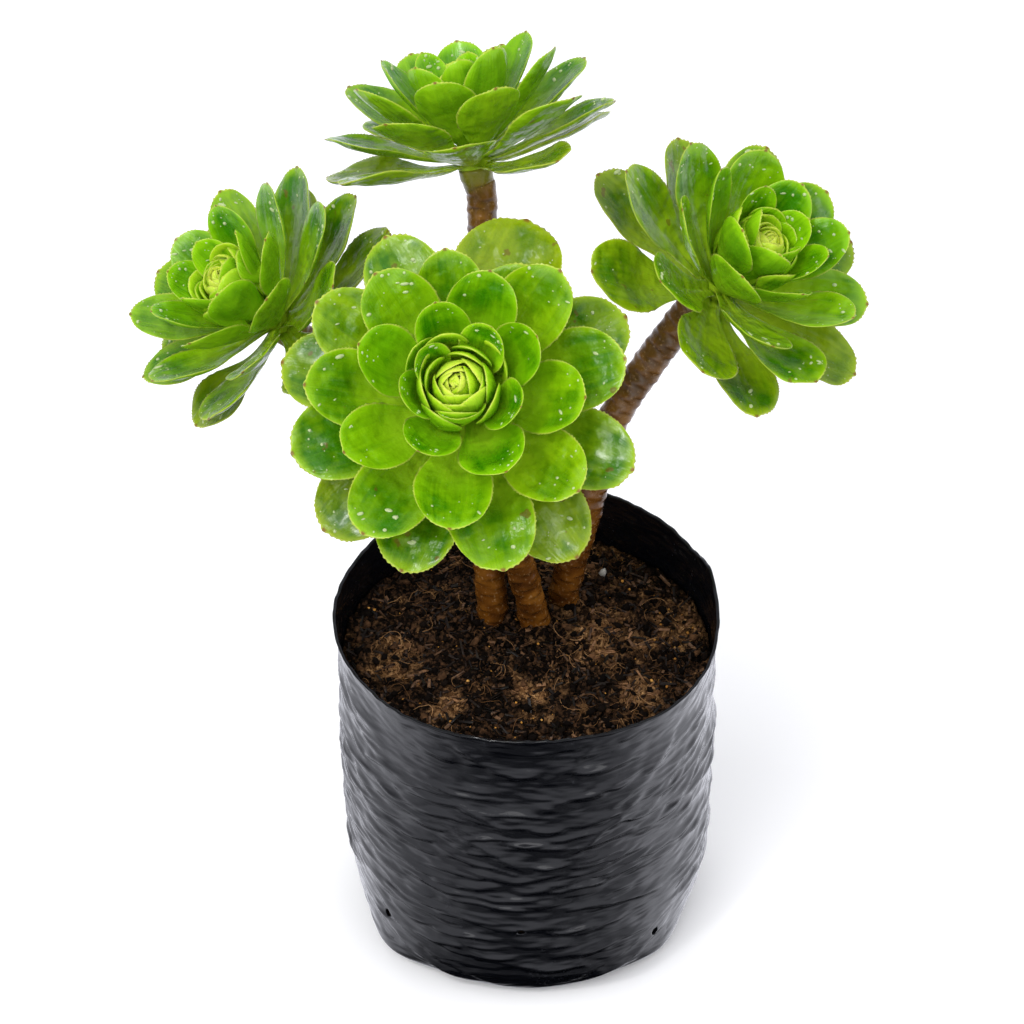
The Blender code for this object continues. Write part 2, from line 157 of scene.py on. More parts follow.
# %% A value that can stand in a sum
class Value:
    """The output of a node in a web of nodes."""

    def __init__(self, web, socket):
        self.web = web
        self.socket = socket

    def math(self, operation, first, second=0.0):
        return self.web.node("ShaderNodeMath", {"operation": operation}, {0: first, 1: second})

    def __add__(self, other):
        return self.math("ADD", self, other)

    def __sub__(self, other):
        return self.math("SUBTRACT", self, other)

    def __rsub__(self, other):
        return self.math("SUBTRACT", other, self)

    def __mul__(self, other):
        return self.math("MULTIPLY", self, other)

    def __abs__(self):
        return self.math("ABSOLUTE", self)

    __radd__ = __add__
    __rmul__ = __mul__

    def step(self, low, high):
        """0 below low, 1 above high, and a smooth rise between them."""
        ends = {"Value": self, "From Min": low, "From Max": high}
        return self.web.node("ShaderNodeMapRange", {"interpolation_type": "SMOOTHSTEP"}, ends)


# %% Colours as the screen shows them, turned into the light that Blender works with
def linear(channel):
    """The light of one channel that runs from 0 to 255 on the screen."""
    share = channel / 255
    return share / 12.92 if share < 0.04045 else ((share + 0.055) / 1.055) ** 2.4


def colour(red, green, blue):
    """A screen colour as linear red, green and blue, with an alpha of 1."""
    return (linear(red), linear(green), linear(blue), 1)


print("mid grey is", round(linear(128), 3))


# %% A web of nodes
class Web:
    """A tree of nodes."""

    def __init__(self, tree):
        self.tree = tree

    def node(self, kind, settings=None, inputs=None, output=0):
        """Adds a node; stops are the colours of a ramp."""
        made = self.tree.nodes.new(kind)
        for key, value in (settings or {}).items():
            if key == "stops":
                for place, tint in value[1:-1]:
                    made.color_ramp.elements.new(place).color = tint
                for end, (place, tint) in zip((0, -1), (value[0], value[-1])):
                    made.color_ramp.elements[end].position = place
                    made.color_ramp.elements[end].color = tint
            else:
                setattr(made, key, value)
        for socket, value in (inputs or {}).items():
            self.join(made.inputs[socket], value)
        return Value(self, made.outputs[output])

    def join(self, socket, value):
        """Links a value to a socket, or sets it."""
        if isinstance(value, Value):
            self.tree.links.new(value.socket, socket)
        else:
            socket.default_value = value

    def mix(self, factor, first, second, blend="MIX"):
        """Colours, mixed."""
        sockets = {0: factor, 6: first, 7: second}
        settings = {"data_type": "RGBA", "blend_type": blend}
        return self.node("ShaderNodeMix", settings, sockets, output=2)


# %% [markdown]
# The room is what the film mirrors. Its walls are pale low down, more so at the sides and at
# the back than in front, and dim higher up. Straight down it is dark, as is the ground under
# the bag. So the film is a middling grey where it faces the camera, dark under each wrinkle,
# and bright on its flanks.

# %% The room
FRONT_LOW, FRONT_LEVEL, FRONT_HIGH = 0.02, 0.95, 0.2
SIDES_LOW, SIDES_HIGH, OVERHEAD = 1.4, 0.4, 0.22
RIGHT_BRIGHTER = 0.2
ROOM_TINT = (0.96, 0.97, 1.06, 1)
room = bpy.data.worlds.new("room")
room.use_nodes = True
web = Web(room.node_tree)
looking = web.node("ShaderNodeTexCoord", output="Generated")
right, back, up = (
    web.node("ShaderNodeSeparateXYZ", inputs={"Vector": looking}, output=axis) for axis in "XYZ"
)
front = (
    FRONT_LOW + (FRONT_LEVEL - FRONT_LOW) * up.step(-0.88, -0.25)
    + (FRONT_HIGH - FRONT_LEVEL) * up.step(0.1, 0.5)
)
sides = (SIDES_LOW + (SIDES_HIGH - SIDES_LOW) * up.step(-0.4, 0.1)) * (1 + right * RIGHT_BRIGHTER)
walls = (front + back.step(-0.65, -0.1) * (sides - front)) * up.step(-0.97, -0.7)
shine = walls + OVERHEAD * up.step(0.6, 0.9)
background = room.node_tree.nodes["Background"]
web.join(background.inputs["Color"], web.mix(1.0, shine, ROOM_TINT, "MULTIPLY"))
bpy.context.scene.world = room
print("level with the plant the room shines at", FRONT_LEVEL, "in front,", SIDES_HIGH, "at the sides")

# %% [markdown]
# A finish is a material that is built up by expressions. The first one is the table's: white
# to the eye, and greyer where it throws light back, so that the undersides of the leaves and
# the film keep their shade.

# %% A finish: one Principled material and the nodes that feed it
class Finish(Web):
    """A material, built up by expressions."""

    def __init__(self, name, **constants):
        self.material = bpy.data.materials.new(name)
        self.material.use_nodes = True
        super().__init__(self.material.node_tree)
        self.shader = self.tree.nodes["Principled BSDF"]
        self.place = self.node("ShaderNodeTexCoord", output="Object")
        for socket, value in constants.items():
            self.shader.inputs[socket.replace("_", " ")].default_value = value

    def attribute(self, name):
        return self.node("ShaderNodeAttribute", {"attribute_name": name}, output="Fac")

    def noise(self, scale, detail=2.0, place=None, rough=0.5):
        where = {"Vector": place or self.place, "Scale": scale, "Detail": detail, "Roughness": rough}
        return self.node("ShaderNodeTexNoise", inputs=where)

    def grains(self, scale, output="Distance"):
        """Cells, each with its own random tone in Color."""
        where = {"Vector": self.place, "Scale": scale}
        return self.node("ShaderNodeTexVoronoi", inputs=where, output=output)

    def stretched(self, size):
        return self.node("ShaderNodeMapping", inputs={"Vector": self.place, "Scale": size})

    def ramp(self, factor, *stops):
        """Each stop is a place from 0 to 1 and a screen colour."""
        tints = [(place, colour(*tint)) for place, *tint in stops]
        return self.node("ShaderNodeValToRGB", {"stops": tints}, {"Fac": factor})

    def bump(self, height, distance, strength=1.0):
        relief = {"Height": height, "Distance": distance, "Strength": strength}
        return self.node("ShaderNodeBump", inputs=relief)

    def shade(self, **inputs):
        """Feeds the shader and hands back the finished material."""
        for socket, value in inputs.items():
            self.join(self.shader.inputs[socket.replace("_", " ")], value)
        return self.material


white = Finish("floor_white", Roughness=0.7)
cloth = white.ramp(white.noise(0.8), (0, 248, 248, 249), (1, 252, 252, 252))
thrown_back = white.node("ShaderNodeLightPath", output="Is Diffuse Ray")
table = white.shade(Base_Color=white.mix(thrown_back, cloth, colour(165, 165, 167)))
floor.data.materials.append(table)
print("the first finish is", table.name)

# %% [markdown]
# ## From bmesh to piece
# A finished piece sits at the origin with its place in its mesh, rides on the plant's one body,
# takes one finish, and may stand for a solid.

# %% Hand over a piece
made_triangles = {}


def hand_over(mesh, name, material, slot, *solids):
    """Turns a bmesh into a smooth-shaded piece of the plant."""
    piece = as_object(mesh, name)
    piece.data.materials.append(material)
    piece.data.shade_smooth()
    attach(piece, "root")
    if solids:
        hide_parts(*solids)
    piece.data.calc_loop_triangles()
    made_triangles[name] = len(piece.data.loop_triangles)
    print(f"{name}: {made_triangles[name]} triangles")
    return piece


def bell(distance, spread):
    """A smooth bump that is 1 at distance 0."""
    return math.exp(-(distance / spread) ** 2)


def turn_between(angle, other):
    """The signed angle from one direction to another, within half a turn."""
    return (angle - other + math.pi) % (2 * math.pi) - math.pi


def wrap(angle, radius, height):
    """A place round the plant's upright axis."""
    return Vector((radius * math.cos(angle), radius * math.sin(angle), height))


# %% [markdown]
# ## Rolled grids and stamps
# Two tools make most of the plant. The first rolls a flat grid up into a closed tube: the bag,
# the soil, the stems and every thread of coir are such tubes. The second stamps a small mesh
# into a larger one, and hands back the points of that copy, ready to be bent into a leaf or a
# crumb of soil.

# %% Roll a grid up
def rolled_grid(mesh, columns, rows, place):
    """Adds a tube with a merged seam and filled ends; place takes an angle and a row."""
    verts = bmesh.ops.create_grid(mesh, x_segments=columns, y_segments=rows, size=1)["verts"]
    seam = [vert for vert in verts if abs(vert.co.x) > 0.999]
    for vert in verts:
        vert.co = place((vert.co.x + 1) * math.pi, round((vert.co.y + 1) / 2 * rows))
    bmesh.ops.remove_doubles(mesh, verts=seam, dist=MERGE)
    verts = [vert for vert in verts if vert.is_valid]
    ends = {edge for vert in verts for edge in vert.link_edges if edge.is_boundary}
    bmesh.ops.holes_fill(mesh, edges=list(ends))
    faces = {face for vert in verts for face in vert.link_faces}
    bmesh.ops.recalc_face_normals(mesh, faces=list(faces))
    return verts


def stamp(mesh, small):
    """Copies a small mesh into a bmesh, and returns the copy's points."""
    mesh.from_mesh(small)
    mesh.verts.ensure_lookup_table()
    return mesh.verts[-len(small.vertices):]


def small_mesh(name, make, **sizes):
    """A small mesh to stamp, as an operator or a function makes it."""
    mesh = bmesh.new()
    make(mesh, **sizes)
    return as_data(mesh, name)


ball = small_mesh("ball", bmesh.ops.create_uvsphere, u_segments=8, v_segments=4, radius=1)
lump = small_mesh("lump", bmesh.ops.create_icosphere, subdivisions=1, radius=1)
block = small_mesh("block", bmesh.ops.create_cube, size=1)
print("a lump has", len(lump.polygons), "faces and a ball has", len(ball.polygons))

# %% [markdown]
# ## The film bag
# The bag is a tube of thin black polythene, filled and stood up. Its size follows the soil: a
# soft drum with a slightly oval base and four folded corners. The drum is a grid rolled up from
# an outline, up the outside, over the rim and down the inside, and every point is then pushed
# in or out by a formula. The same rules, a little smaller, shape the body of the soil.

# %% The drum of the bag
BAG_RADIUS = 80 * MM
BOTTOM_ROUND, BOTTOM_RISE = 14 * MM, 12 * MM
BASE_OVAL, OVAL_RISE = 0.035, 25 * MM
LUMPS = ((0.7 * MM, 3, 34, 0), (0.5 * MM, 5, -58, 2))
CORNERS = (38, 142, 218, 322)
CORNER_OUT, CORNER_SPREAD = 5 * MM, math.radians(14)
CORNER_HEIGHT, CORNER_RISE = 6 * MM, 10 * MM
RIM_MEAN, RIM_TILT, RIM_WAVE = 163 * MM, 2 * MM, 3 * MM
RIM_FRONT, RIM_FRONT_SPREAD = 2.6 * MM, math.radians(55)
RIM_PEAK, RIM_PEAK_ANGLE, RIM_PEAK_SPREAD = 4 * MM, math.radians(18), math.radians(7)
SOIL_LEVEL = 140 * MM


def bag_radius(angle, height):
    """Distance of the film from the axis, without its wrinkles."""
    base = BAG_RADIUS - BOTTOM_ROUND * math.exp(-height / BOTTOM_RISE)
    oval = 1 + BASE_OVAL * math.cos(2 * angle) * math.exp(-height / OVAL_RISE)
    lumps = sum(
        size * math.sin(waves * angle + turn * height + start) for size, waves, turn, start in LUMPS
    )
    lift = bell(height - CORNER_HEIGHT, CORNER_RISE)
    corner = sum(bell(turn_between(angle, math.radians(a)), CORNER_SPREAD) for a in CORNERS)
    return base * oval + lumps + CORNER_OUT * corner * lift


def rim_height(angle):
    """Height of the film's free edge."""
    peak = RIM_PEAK * bell(turn_between(angle, RIM_PEAK_ANGLE), RIM_PEAK_SPREAD)
    peak += RIM_FRONT * bell(turn_between(angle, -math.pi / 2), RIM_FRONT_SPREAD)
    return RIM_MEAN + RIM_TILT * math.sin(angle) - RIM_WAVE * math.cos(2 * angle) + peak


def drum(columns, profile):
    """A drum turned from points of radius and height, and closed flat at its two ends."""
    mesh = bmesh.new()
    rolled_grid(mesh, columns, len(profile) - 1, lambda angle, row: wrap(angle, *profile[row]))
    return mesh


print("bag across", round(2 * bag_radius(0, 80 * MM) / MM), "mm")

# %% [markdown]
# What shows that the bag is film are its wrinkles. Each is a sharp crest that falls off slowly
# above and steeply below, because the bag has settled under the weight of the soil. Most lie
# level. Softer ones slant down from the rim to the middle of the front and of the back, and
# above each corner of the base three folds start that do the same, two out and one in. They are
# drawn at random with a fixed seed. Each point of the film takes the highest crest that reaches
# it, and a fold that goes in is taken off.

# %% Wrinkles of the film
WRINKLE_SEED = 5
LEVEL_WRINKLES, LEVEL_HEIGHTS = 420, (22, 76, 164)
LEVEL_SLOPE, LEVEL_BOW = 4.5, 1.6
LEVEL_SIZES = ((10, 30), (1.2, 2.2), (0.9, 2.0))
TENSION_WRINKLES, TENSION_HEIGHTS, TENSION_SLOPES = 56, (92, 156), (16, 42)
TENSION_SIZES = ((12, 30), (2.2, 4.2), (1.0, 2.0))
FOLD_SPANS = ((220, 254), (322, 287), (140, 106), (38, 73))
FOLD_TOP, FOLD_FOOT, FOLD_STEP = 39 * MM, 15 * MM, 4.5 * MM
FOLD_BOW, FOLD_WIDE = 3 * MM, 3 * MM
FOLD_DEPTHS = (2.8 * MM, -2.6 * MM, 2.4 * MM)


def one_wrinkle(draw, place, slope, bow, spans):
    """Angle, height, half length, slope, bow, width and depth of a wrinkle."""
    reach, width, depth = (draw.uniform(*span) * MM for span in spans)
    return (*place, reach, slope, bow, width, depth)


def draw_wrinkles():
    """Every wrinkle of the film."""
    draw = np.random.default_rng(WRINKLE_SEED)
    rows = []
    for _ in range(LEVEL_WRINKLES):
        place = (draw.uniform(0, 2 * math.pi), draw.triangular(*LEVEL_HEIGHTS) * MM)
        slope, bow = math.radians(draw.normal(0, LEVEL_SLOPE)), draw.normal(0, LEVEL_BOW) * MM
        rows.append(one_wrinkle(draw, place, slope, bow, LEVEL_SIZES))
    for _ in range(TENSION_WRINKLES):
        place = (draw.uniform(0, 2 * math.pi), draw.uniform(*TENSION_HEIGHTS) * MM)
        steep = math.radians(draw.uniform(*TENSION_SLOPES))
        slope = -math.copysign(steep, math.sin(2 * place[0]))
        rows.append(one_wrinkle(draw, place, slope, 0, TENSION_SIZES))
    for side, middle in FOLD_SPANS:
        arc = math.radians(middle - side) * BAG_RADIUS
        angle = math.radians((side + middle) / 2)
        for order, depth in enumerate(FOLD_DEPTHS):
            height = (FOLD_TOP + FOLD_FOOT) / 2 - order * FOLD_STEP
            slope = math.atan((FOLD_FOOT - FOLD_TOP) / arc) * draw.uniform(0.92, 1.08)
            reach = (0.8 - 0.08 * order) * abs(arc)
            rows.append((angle, height, reach, slope, FOLD_BOW, FOLD_WIDE, depth))
    return rows


WRINKLES = draw_wrinkles()
print(len(WRINKLES), "wrinkles")

# %% How far the film stands out
WRINKLE_REST = 0.7 * MM
ABOVE_SOFT, BELOW_SOFT, CREST_SHARP = 1.7, 1.1, 1.2
SWAY, SWAY_LONG = 0.6 * MM, 4.2 * MM
SLACK, SLACK_SIZE = 0.7 * MM, 42 * MM
PUCKER, PUCKER_SIZE = 0.3 * MM, 6 * MM
RIM_CALM, CALM_HIGH, FOOT_CALM = 0.8, 9 * MM, 9 * MM


def wrinkle_relief(angles, heights):
    """The highest crest at each point, less the height at which the film rests."""
    relief = np.zeros(len(angles))
    for angle, height, reach, slope, bow, width, depth in WRINKLES:
        along = ((angles - angle + math.pi) % (2 * math.pi) - math.pi) * BAG_RADIUS
        near = np.nonzero((np.abs(along) < reach) & (np.abs(heights - height) < reach))[0]
        along, above = along[near], heights[near] - height
        on_it = (along * math.cos(slope) + above * math.sin(slope)) / reach
        off_it = above * math.cos(slope) - along * math.sin(slope) + bow * on_it ** 2
        off_it += SWAY * np.sin(along / SWAY_LONG + 50 * angle)
        fade = np.clip(1 - on_it ** 2, 0, 1) ** 1.5
        soft = np.where(off_it > 0, ABOVE_SOFT, BELOW_SOFT) * width
        crest = depth * fade * np.exp(-np.abs(off_it / soft) ** CREST_SHARP)
        relief[near] = np.maximum(relief[near], crest) if depth > 0 else relief[near] + crest
    calm = 1 - RIM_CALM * np.exp(-((heights - RIM_MEAN) / CALM_HIGH) ** 2)
    return (relief - WRINKLE_REST) * calm * np.clip(heights / FOOT_CALM, 0, 1)


def slack(angle, height):
    """The slow bulges of film that isn't pulled tight."""
    around = wrap(angle, BAG_RADIUS, height)
    small = noise.noise(Vector((around.x, around.y, 2.2 * height)) / PUCKER_SIZE)
    bulge = SLACK * noise.noise(around / SLACK_SIZE) + PUCKER * small
    return min(1, height / (12 * MM)) * bulge


test_relief = wrinkle_relief(np.linspace(0, 6, 500), np.full(500, 80 * MM)) / MM
print("wrinkles stand out from", round(test_relief.min(), 2), "to", round(test_relief.max(), 2), "mm")

# %% [markdown]
# Film is far thinner than the solid's wall. The outside and the top of the inside carry every
# wrinkle. Further down, where soil hides it, the inside is plain and lies against the soil.
# The cut edge is nicked and curls out a little. Punched holes near the base let water out:
# rods, subtracted all at once.

# %% The film and its punched holes
FILM = 0.4 * MM
HIDDEN_GAP, HIDDEN_BELOW, HIDDEN_ROWS = 0.9 * MM, 0.8, 14
BAG_COLUMNS, BAG_ROWS = 300, 235
NICK, NICKS_ROUND = 0.8 * MM, 18
BEAD_OUT, BEAD_HIGH = 0.9 * MM, 1.1 * MM
FLARE_OUT, FLARE_HIGH = 0.8 * MM, 7 * MM
DRAIN_RADIUS, DRAIN_DEPTH = 1.8 * MM, 12 * MM
DRAIN_HOLES = (
    (-140, 33 * MM), (-45, 26 * MM), (-21, 36 * MM), (-92, 52 * MM),
    (40, 30 * MM), (138, 34 * MM), (90, 50 * MM), (180, 40 * MM),
)
OUTSIDE, INSIDE = 2, 1


def drain_rods():
    """The rods that punch the holes, in a collection of their own."""
    rods = bpy.data.collections.new("drain_rods")
    bpy.context.scene.collection.children.link(rods)
    for degrees, height in DRAIN_HOLES:
        angle = math.radians(degrees)
        mesh = bmesh.new()
        bmesh.ops.create_cone(
            mesh, cap_ends=True, segments=14,
            radius1=DRAIN_RADIUS, radius2=DRAIN_RADIUS, depth=DRAIN_DEPTH,
        )
        outward = wrap(angle, 1, 0).to_track_quat("Z", "Y").to_matrix().to_4x4()
        place = Matrix.Translation(wrap(angle, bag_radius(angle, height), height))
        bmesh.ops.transform(mesh, matrix=place @ outward, verts=mesh.verts)
        rod_object = as_object(mesh, "drain_rod")
        bpy.context.scene.collection.objects.unlink(rod_object)
        rods.objects.link(rod_object)
    return rods


def boolean(piece, operation, **operands):
    """The mesh that a Boolean makes of a piece; what it worked with is removed."""
    cut = piece.modifiers.new("cut", "BOOLEAN")
    cut.operation = operation
    cut.solver = "MANIFOLD"
    for key, value in operands.items():
        setattr(cut, key, value)
    graph = bpy.context.evaluated_depsgraph_get()
    data = bpy.data.meshes.new_from_object(piece.evaluated_get(graph))
    piece.modifiers.clear()
    group = operands.get("collection")
    for used in group.objects[:] if group else [operands["object"]]:
        bpy.data.objects.remove(used, do_unlink=True)
    return data


def make_bag(material):
    """The wrinkled film, turned as a double wall and punched."""
    shares = [float(share) for share in np.linspace(0, 1, BAG_ROWS)]
    hidden = [float(share) for share in np.linspace(HIDDEN_BELOW, 0.01, HIDDEN_ROWS)]
    inner = [share for share in shares[::-1] if share > HIDDEN_BELOW] + hidden
    profile = [(OUTSIDE, share) for share in shares] + [(INSIDE, share) for share in inner]
    mesh = drum(BAG_COLUMNS, profile)
    angles = np.array([math.atan2(vert.co.y, vert.co.x) for vert in mesh.verts])
    heights = np.array([vert.co.z * rim_height(angle) for vert, angle in zip(mesh.verts, angles)])
    stands = wrinkle_relief(angles, heights)
    for vert, angle, height, stand in zip(mesh.verts, angles, heights, stands):
        below_rim = rim_height(angle) - height
        radius = bag_radius(angle, height) + slack(angle, height)
        radius += FLARE_OUT * bell(below_rim, FLARE_HIGH)
        if vert.co.xy.length > (OUTSIDE + INSIDE) / 2:
            radius += stand + BEAD_OUT * bell(below_rim, BEAD_HIGH)
        else:
            seen = min(1, max(0, (height - SOIL_LEVEL) / (6 * MM)))
            radius += seen * (stand - FILM) - (1 - seen) * HIDDEN_GAP
        nick = NICK * noise.noise(wrap(angle, NICKS_ROUND, 0)) * (height / RIM_MEAN) ** 8
        vert.co = wrap(angle, radius, height + nick)
    bag = hand_over(mesh, "film_bag", material, "film", "nursery_bag")
    rods = drain_rods()
    bag.data = boolean(bag, "DIFFERENCE", operand_type="COLLECTION", collection=rods)
    bpy.data.collections.remove(rods)
    return bag


# %% [markdown]
# Polythene is nearly black, and all that shows of it is what it mirrors. Its gloss is uneven:
# dust and rubbing leave duller patches. Between the wrinkles the film has ripples too low to
# model. A bump gives them: a soft noise, stretched out level.

# %% Finish of the film
RIPPLE_HIGH = 1.1 * MM


def film_finish():
    film = Finish("black_film", Specular_IOR_Level=0.5)
    patches = film.noise(38, 4)
    dust = film.noise(420, 3)
    ripples = film.noise(52, 1.5, film.stretched((1, 1, 3.6)))
    scuffs = dust.step(0.56, 0.74) * patches.step(0.42, 0.62)
    tint = film.mix(scuffs * 0.25, colour(9, 10, 14), colour(46, 47, 52))
    gloss = 0.09 + patches * 0.1 + scuffs * 0.2
    return film.shade(Base_Color=tint, Roughness=gloss, Normal=film.bump(ripples, RIPPLE_HIGH))


bag = make_bag(film_finish())
print("the punched film has", len(bag.data.polygons), "faces")

# %% [markdown]
# ## The soil
# Potting mix is a crumbly heap of composted bark, coir and a little grit. The surface is a
# turned disc whose rings are pushed up and down by noise of several sizes, with a low mound
# round the stems. It goes on down inside the film as a closed body, so that it also shows
# through the punched holes. Paler, drier patches full of fibre lie on it, and their share is
# kept on its points for the finish.

# %% The surface of the soil
SOIL_INSET = 1.9 * MM
MOUND_HEIGHT, MOUND_SPREAD, MOUND_CENTRE = 8 * MM, 34 * MM, (2 * MM, 20 * MM)
CLODS = ((13 * MM, 2.2 * MM), (5 * MM, 1.7 * MM), (2.2 * MM, 0.9 * MM))
DRY_PATCHES = (
    (31, 6, 16), (47, -25, 12), (4, -27, 9), (-58, -6, 12),
    (66, 16, 15), (-34, -33, 8), (20, 60, 20),
)
SOIL_COLUMNS, SOIL_RINGS = 340, 92


def soil_height(x, y):
    """Height of the soil's surface."""
    away = math.hypot(x - MOUND_CENTRE[0], y - MOUND_CENTRE[1])
    rough = 0
    for size, height in CLODS:
        rough += height * (abs(noise.noise(Vector((x / size, y / size, 3)))) * 2 - 0.45)
    return SOIL_LEVEL + MOUND_HEIGHT * bell(away, MOUND_SPREAD) + rough


def dry_share(x, y):
    """How dry and fibrous the soil is, from 0 to 1."""
    patches = sum(
        bell(math.hypot(x - left * MM, y - ahead * MM), far * MM) for left, ahead, far in DRY_PATCHES
    )
    ragged = noise.noise(Vector((x, y, 0)) / (9 * MM)) + 0.6 * noise.noise(Vector((x, y, 1)) / (3 * MM))
    return min(1, max(0, 1.1 * patches - 0.25 + 0.9 * ragged))


def make_soil(material):
    """A closed body of soil: crumbly above, and as wide as the film leaves it."""
    wall = [(1, share) for share in (0, 0.02, 0.06, 0.12, 0.25, 0.5, 0.8, 1)]
    top = [(float(ring), 1) for ring in np.linspace(1, 0.01, SOIL_RINGS)[1:]]
    mesh = drum(SOIL_COLUMNS, wall + top)
    dry = mesh.verts.layers.float.new("dry")
    for vert in mesh.verts:
        angle, far, share = math.atan2(vert.co.y, vert.co.x), vert.co.xy.length, vert.co.z
        height = SOIL_INSET + share * (SOIL_LEVEL - SOIL_INSET)
        place = wrap(angle, far * (bag_radius(angle, height) - SOIL_INSET), height)
        if share == 1:
            place.z = soil_height(place.x, place.y)
            vert[dry] = dry_share(place.x, place.y)
        vert.co = place
    return hand_over(mesh, "soil_body", material, "soil", "potting_soil")


# %% Finish of the soil
def soil_finish():
    soil = Finish("potting_mix", Specular_IOR_Level=0.08)
    tone, cells = soil.grains(760, "Color"), soil.grains(760)
    fine, dust = soil.noise(1500, 3), soil.noise(240, 4, rough=0.7)
    grain = tone * 0.5 + dust * 0.6
    dark = soil.ramp(grain, (0.3, 2, 1, 0), (0.55, 19, 12, 8), (0.8, 78, 54, 36))
    pale = soil.ramp(grain, (0.3, 28, 17, 9), (0.55, 110, 76, 46), (0.8, 186, 142, 96))
    tint = soil.mix(soil.attribute("dry"), dark, pale)
    relief = fine * 0.5 + dust + (1 - cells)
    rough = 0.8 + fine * 0.15
    return soil.shade(Base_Color=tint, Roughness=rough, Normal=soil.bump(relief, 1.1 * MM))


make_soil(soil_finish())

# %% [markdown]
# ## Rods
# Coir threads and stems are both rods that follow a curve: rolled grids whose rows stand square
# to it. The frame at each point of the curve is handed on from the last, so that a rod doesn't
# twist.

# %% Roll a grid up round a path
def frames_along(path):
    """A frame at each point of a path that turns no more than it must."""
    frames, side = [], Vector((1, 0, 0))
    for number, point in enumerate(path):
        ahead = (path[min(number + 1, len(path) - 1)] - path[max(number - 1, 0)]).normalized()
        side = (side - ahead * side.dot(ahead)).normalized()
        frames.append((point, side, ahead.cross(side)))
    return frames


def rod(mesh, path, radii, sides):
    """Adds a closed round rod along a path, and returns its points."""
    rows = len(path) - 1
    frames = frames_along(path)

    def place(angle, row):
        centre, side, up = frames[row]
        radius = radii[0] + (radii[1] - radii[0]) * row / rows
        return centre + (side * math.cos(angle) + up * math.sin(angle)) * radius

    return rolled_grid(mesh, sides, rows, place)


test_rod = rod(bmesh.new(), [Vector((0, 0, z)) for z in range(4)], (1, 1), 6)
print("a test rod has", len(test_rod), "points")

# %% [markdown]
# ## Loose bits on the soil
# Crumbs, flakes of bark, threads of coir and grains of grit are scattered by a seeded draw.
# Each kind is one piece. A bit is a plain shape with few faces, bent a little, and laid flat
# on the surface. A number drawn for each bit is kept on its points, for its colour, and is
# higher where the soil is dry.

# %% Scatter
def spot_on_soil(draw, dry_only=0.0, reach=0.97):
    """A random place on the soil's surface; the higher dry_only is, the drier the place."""
    while True:
        angle = draw.uniform(0, 2 * math.pi)
        far = math.sqrt(draw.uniform(0, 1)) * reach * (bag_radius(angle, SOIL_LEVEL) - SOIL_INSET)
        x, y = far * math.cos(angle), far * math.sin(angle)
        if draw.uniform(0, 1) >= dry_only * (1 - dry_share(x, y)):
            return Vector((x, y, soil_height(x, y)))


def luck_at(place, draw):
    """The number that sets a bit's colour."""
    return 0.7 * draw.uniform(0, 1) + 0.3 * dry_share(place.x, place.y)


def bits():
    """A bmesh with room for each point's luck, and that layer."""
    mesh = bmesh.new()
    return mesh, mesh.verts.layers.float.new("luck")


def lay(verts, layer, place, draw, size, tilt=0.5):
    """Sizes a new bit, turns it at random, and puts it in its place."""
    lean = Matrix.Rotation(draw.uniform(-tilt, tilt), 4, "X")
    lean = lean @ Matrix.Rotation(draw.uniform(-tilt, tilt), 4, "Y")
    turn = Matrix.Rotation(draw.uniform(0, 2 * math.pi), 4, "Z") @ lean
    matrix = Matrix.Translation(place) @ turn @ Matrix.Diagonal((*size, 1))
    luck = luck_at(place, draw)
    for vert in verts:
        vert.co = matrix @ vert.co
        vert[layer] = luck


def scatter_lumps(number, seed, smallest, largest, flat=0.7, sink=0.2, rough=0.4, places=None):
    """Rough lumps with twenty faces each."""
    draw = np.random.default_rng(seed)
    mesh, luck = bits()
    for order in range(number):
        half = smallest + (largest - smallest) * draw.uniform(0, 1) ** 3
        verts = stamp(mesh, lump)
        for vert in verts:
            vert.co *= draw.uniform(0.9 - rough, 0.9 + rough)
        spot = Vector((*places[order], soil_height(*places[order]))) if places else spot_on_soil(draw)
        place = spot + Vector((0, 0, half * (0.5 - sink)))
        lay(verts, luck, place, draw, (half * draw.uniform(0.8, 1.4), half, half * flat))
    return mesh


def scatter_flakes(number, seed, length, width, thick):
    """Flat slivers of bark."""
    draw = np.random.default_rng(seed)
    mesh, luck = bits()
    for _ in range(number):
        verts = stamp(mesh, block)
        for vert in verts:
            vert.co.x *= draw.uniform(0.75, 1.1)
            vert.co.y *= draw.uniform(0.5, 1.1)
        grow = draw.uniform(0.3, 1)
        place = spot_on_soil(draw) + Vector((0, 0, thick / 2))
        lay(verts, luck, place, draw, (length * grow, width * draw.uniform(0.5, 1), thick), 0.4)
    bmesh.ops.bevel(
        mesh, geom=list(mesh.edges), offset=0.1 * MM, segments=1, profile=0.5, affect="EDGES", material=-1,
    )
    return mesh


# %% Threads
THREAD_STEPS = 8


def scatter_threads(number, seed, length, thick):
    """Curly threads, each a thin rod bent over the soil."""
    draw = np.random.default_rng(seed)
    mesh, luck = bits()
    for _ in range(number):
        long = length * draw.uniform(0.3, 1)
        curl, heading = draw.uniform(-2.5, 2.5), draw.uniform(0, 2 * math.pi)
        arch = draw.uniform(0, 1) ** 4 * 3 * MM
        start = spot_on_soil(draw, 0.85, 0.9)
        path = []
        for share in np.linspace(0, 1, THREAD_STEPS):
            bend = heading + curl * share
            x = start.x + share * long * math.cos(bend)
            y = start.y + share * long * math.sin(bend)
            lift = 0.3 * MM + arch * math.sin(math.pi * share)
            path.append(Vector((x, y, max(soil_height(x, y), start.z - 0.5 * MM) + lift)))
        tone = luck_at(start, draw)
        for vert in rod(mesh, path, (thick / 2, thick / 3), 4):
            vert[luck] = tone
    return mesh


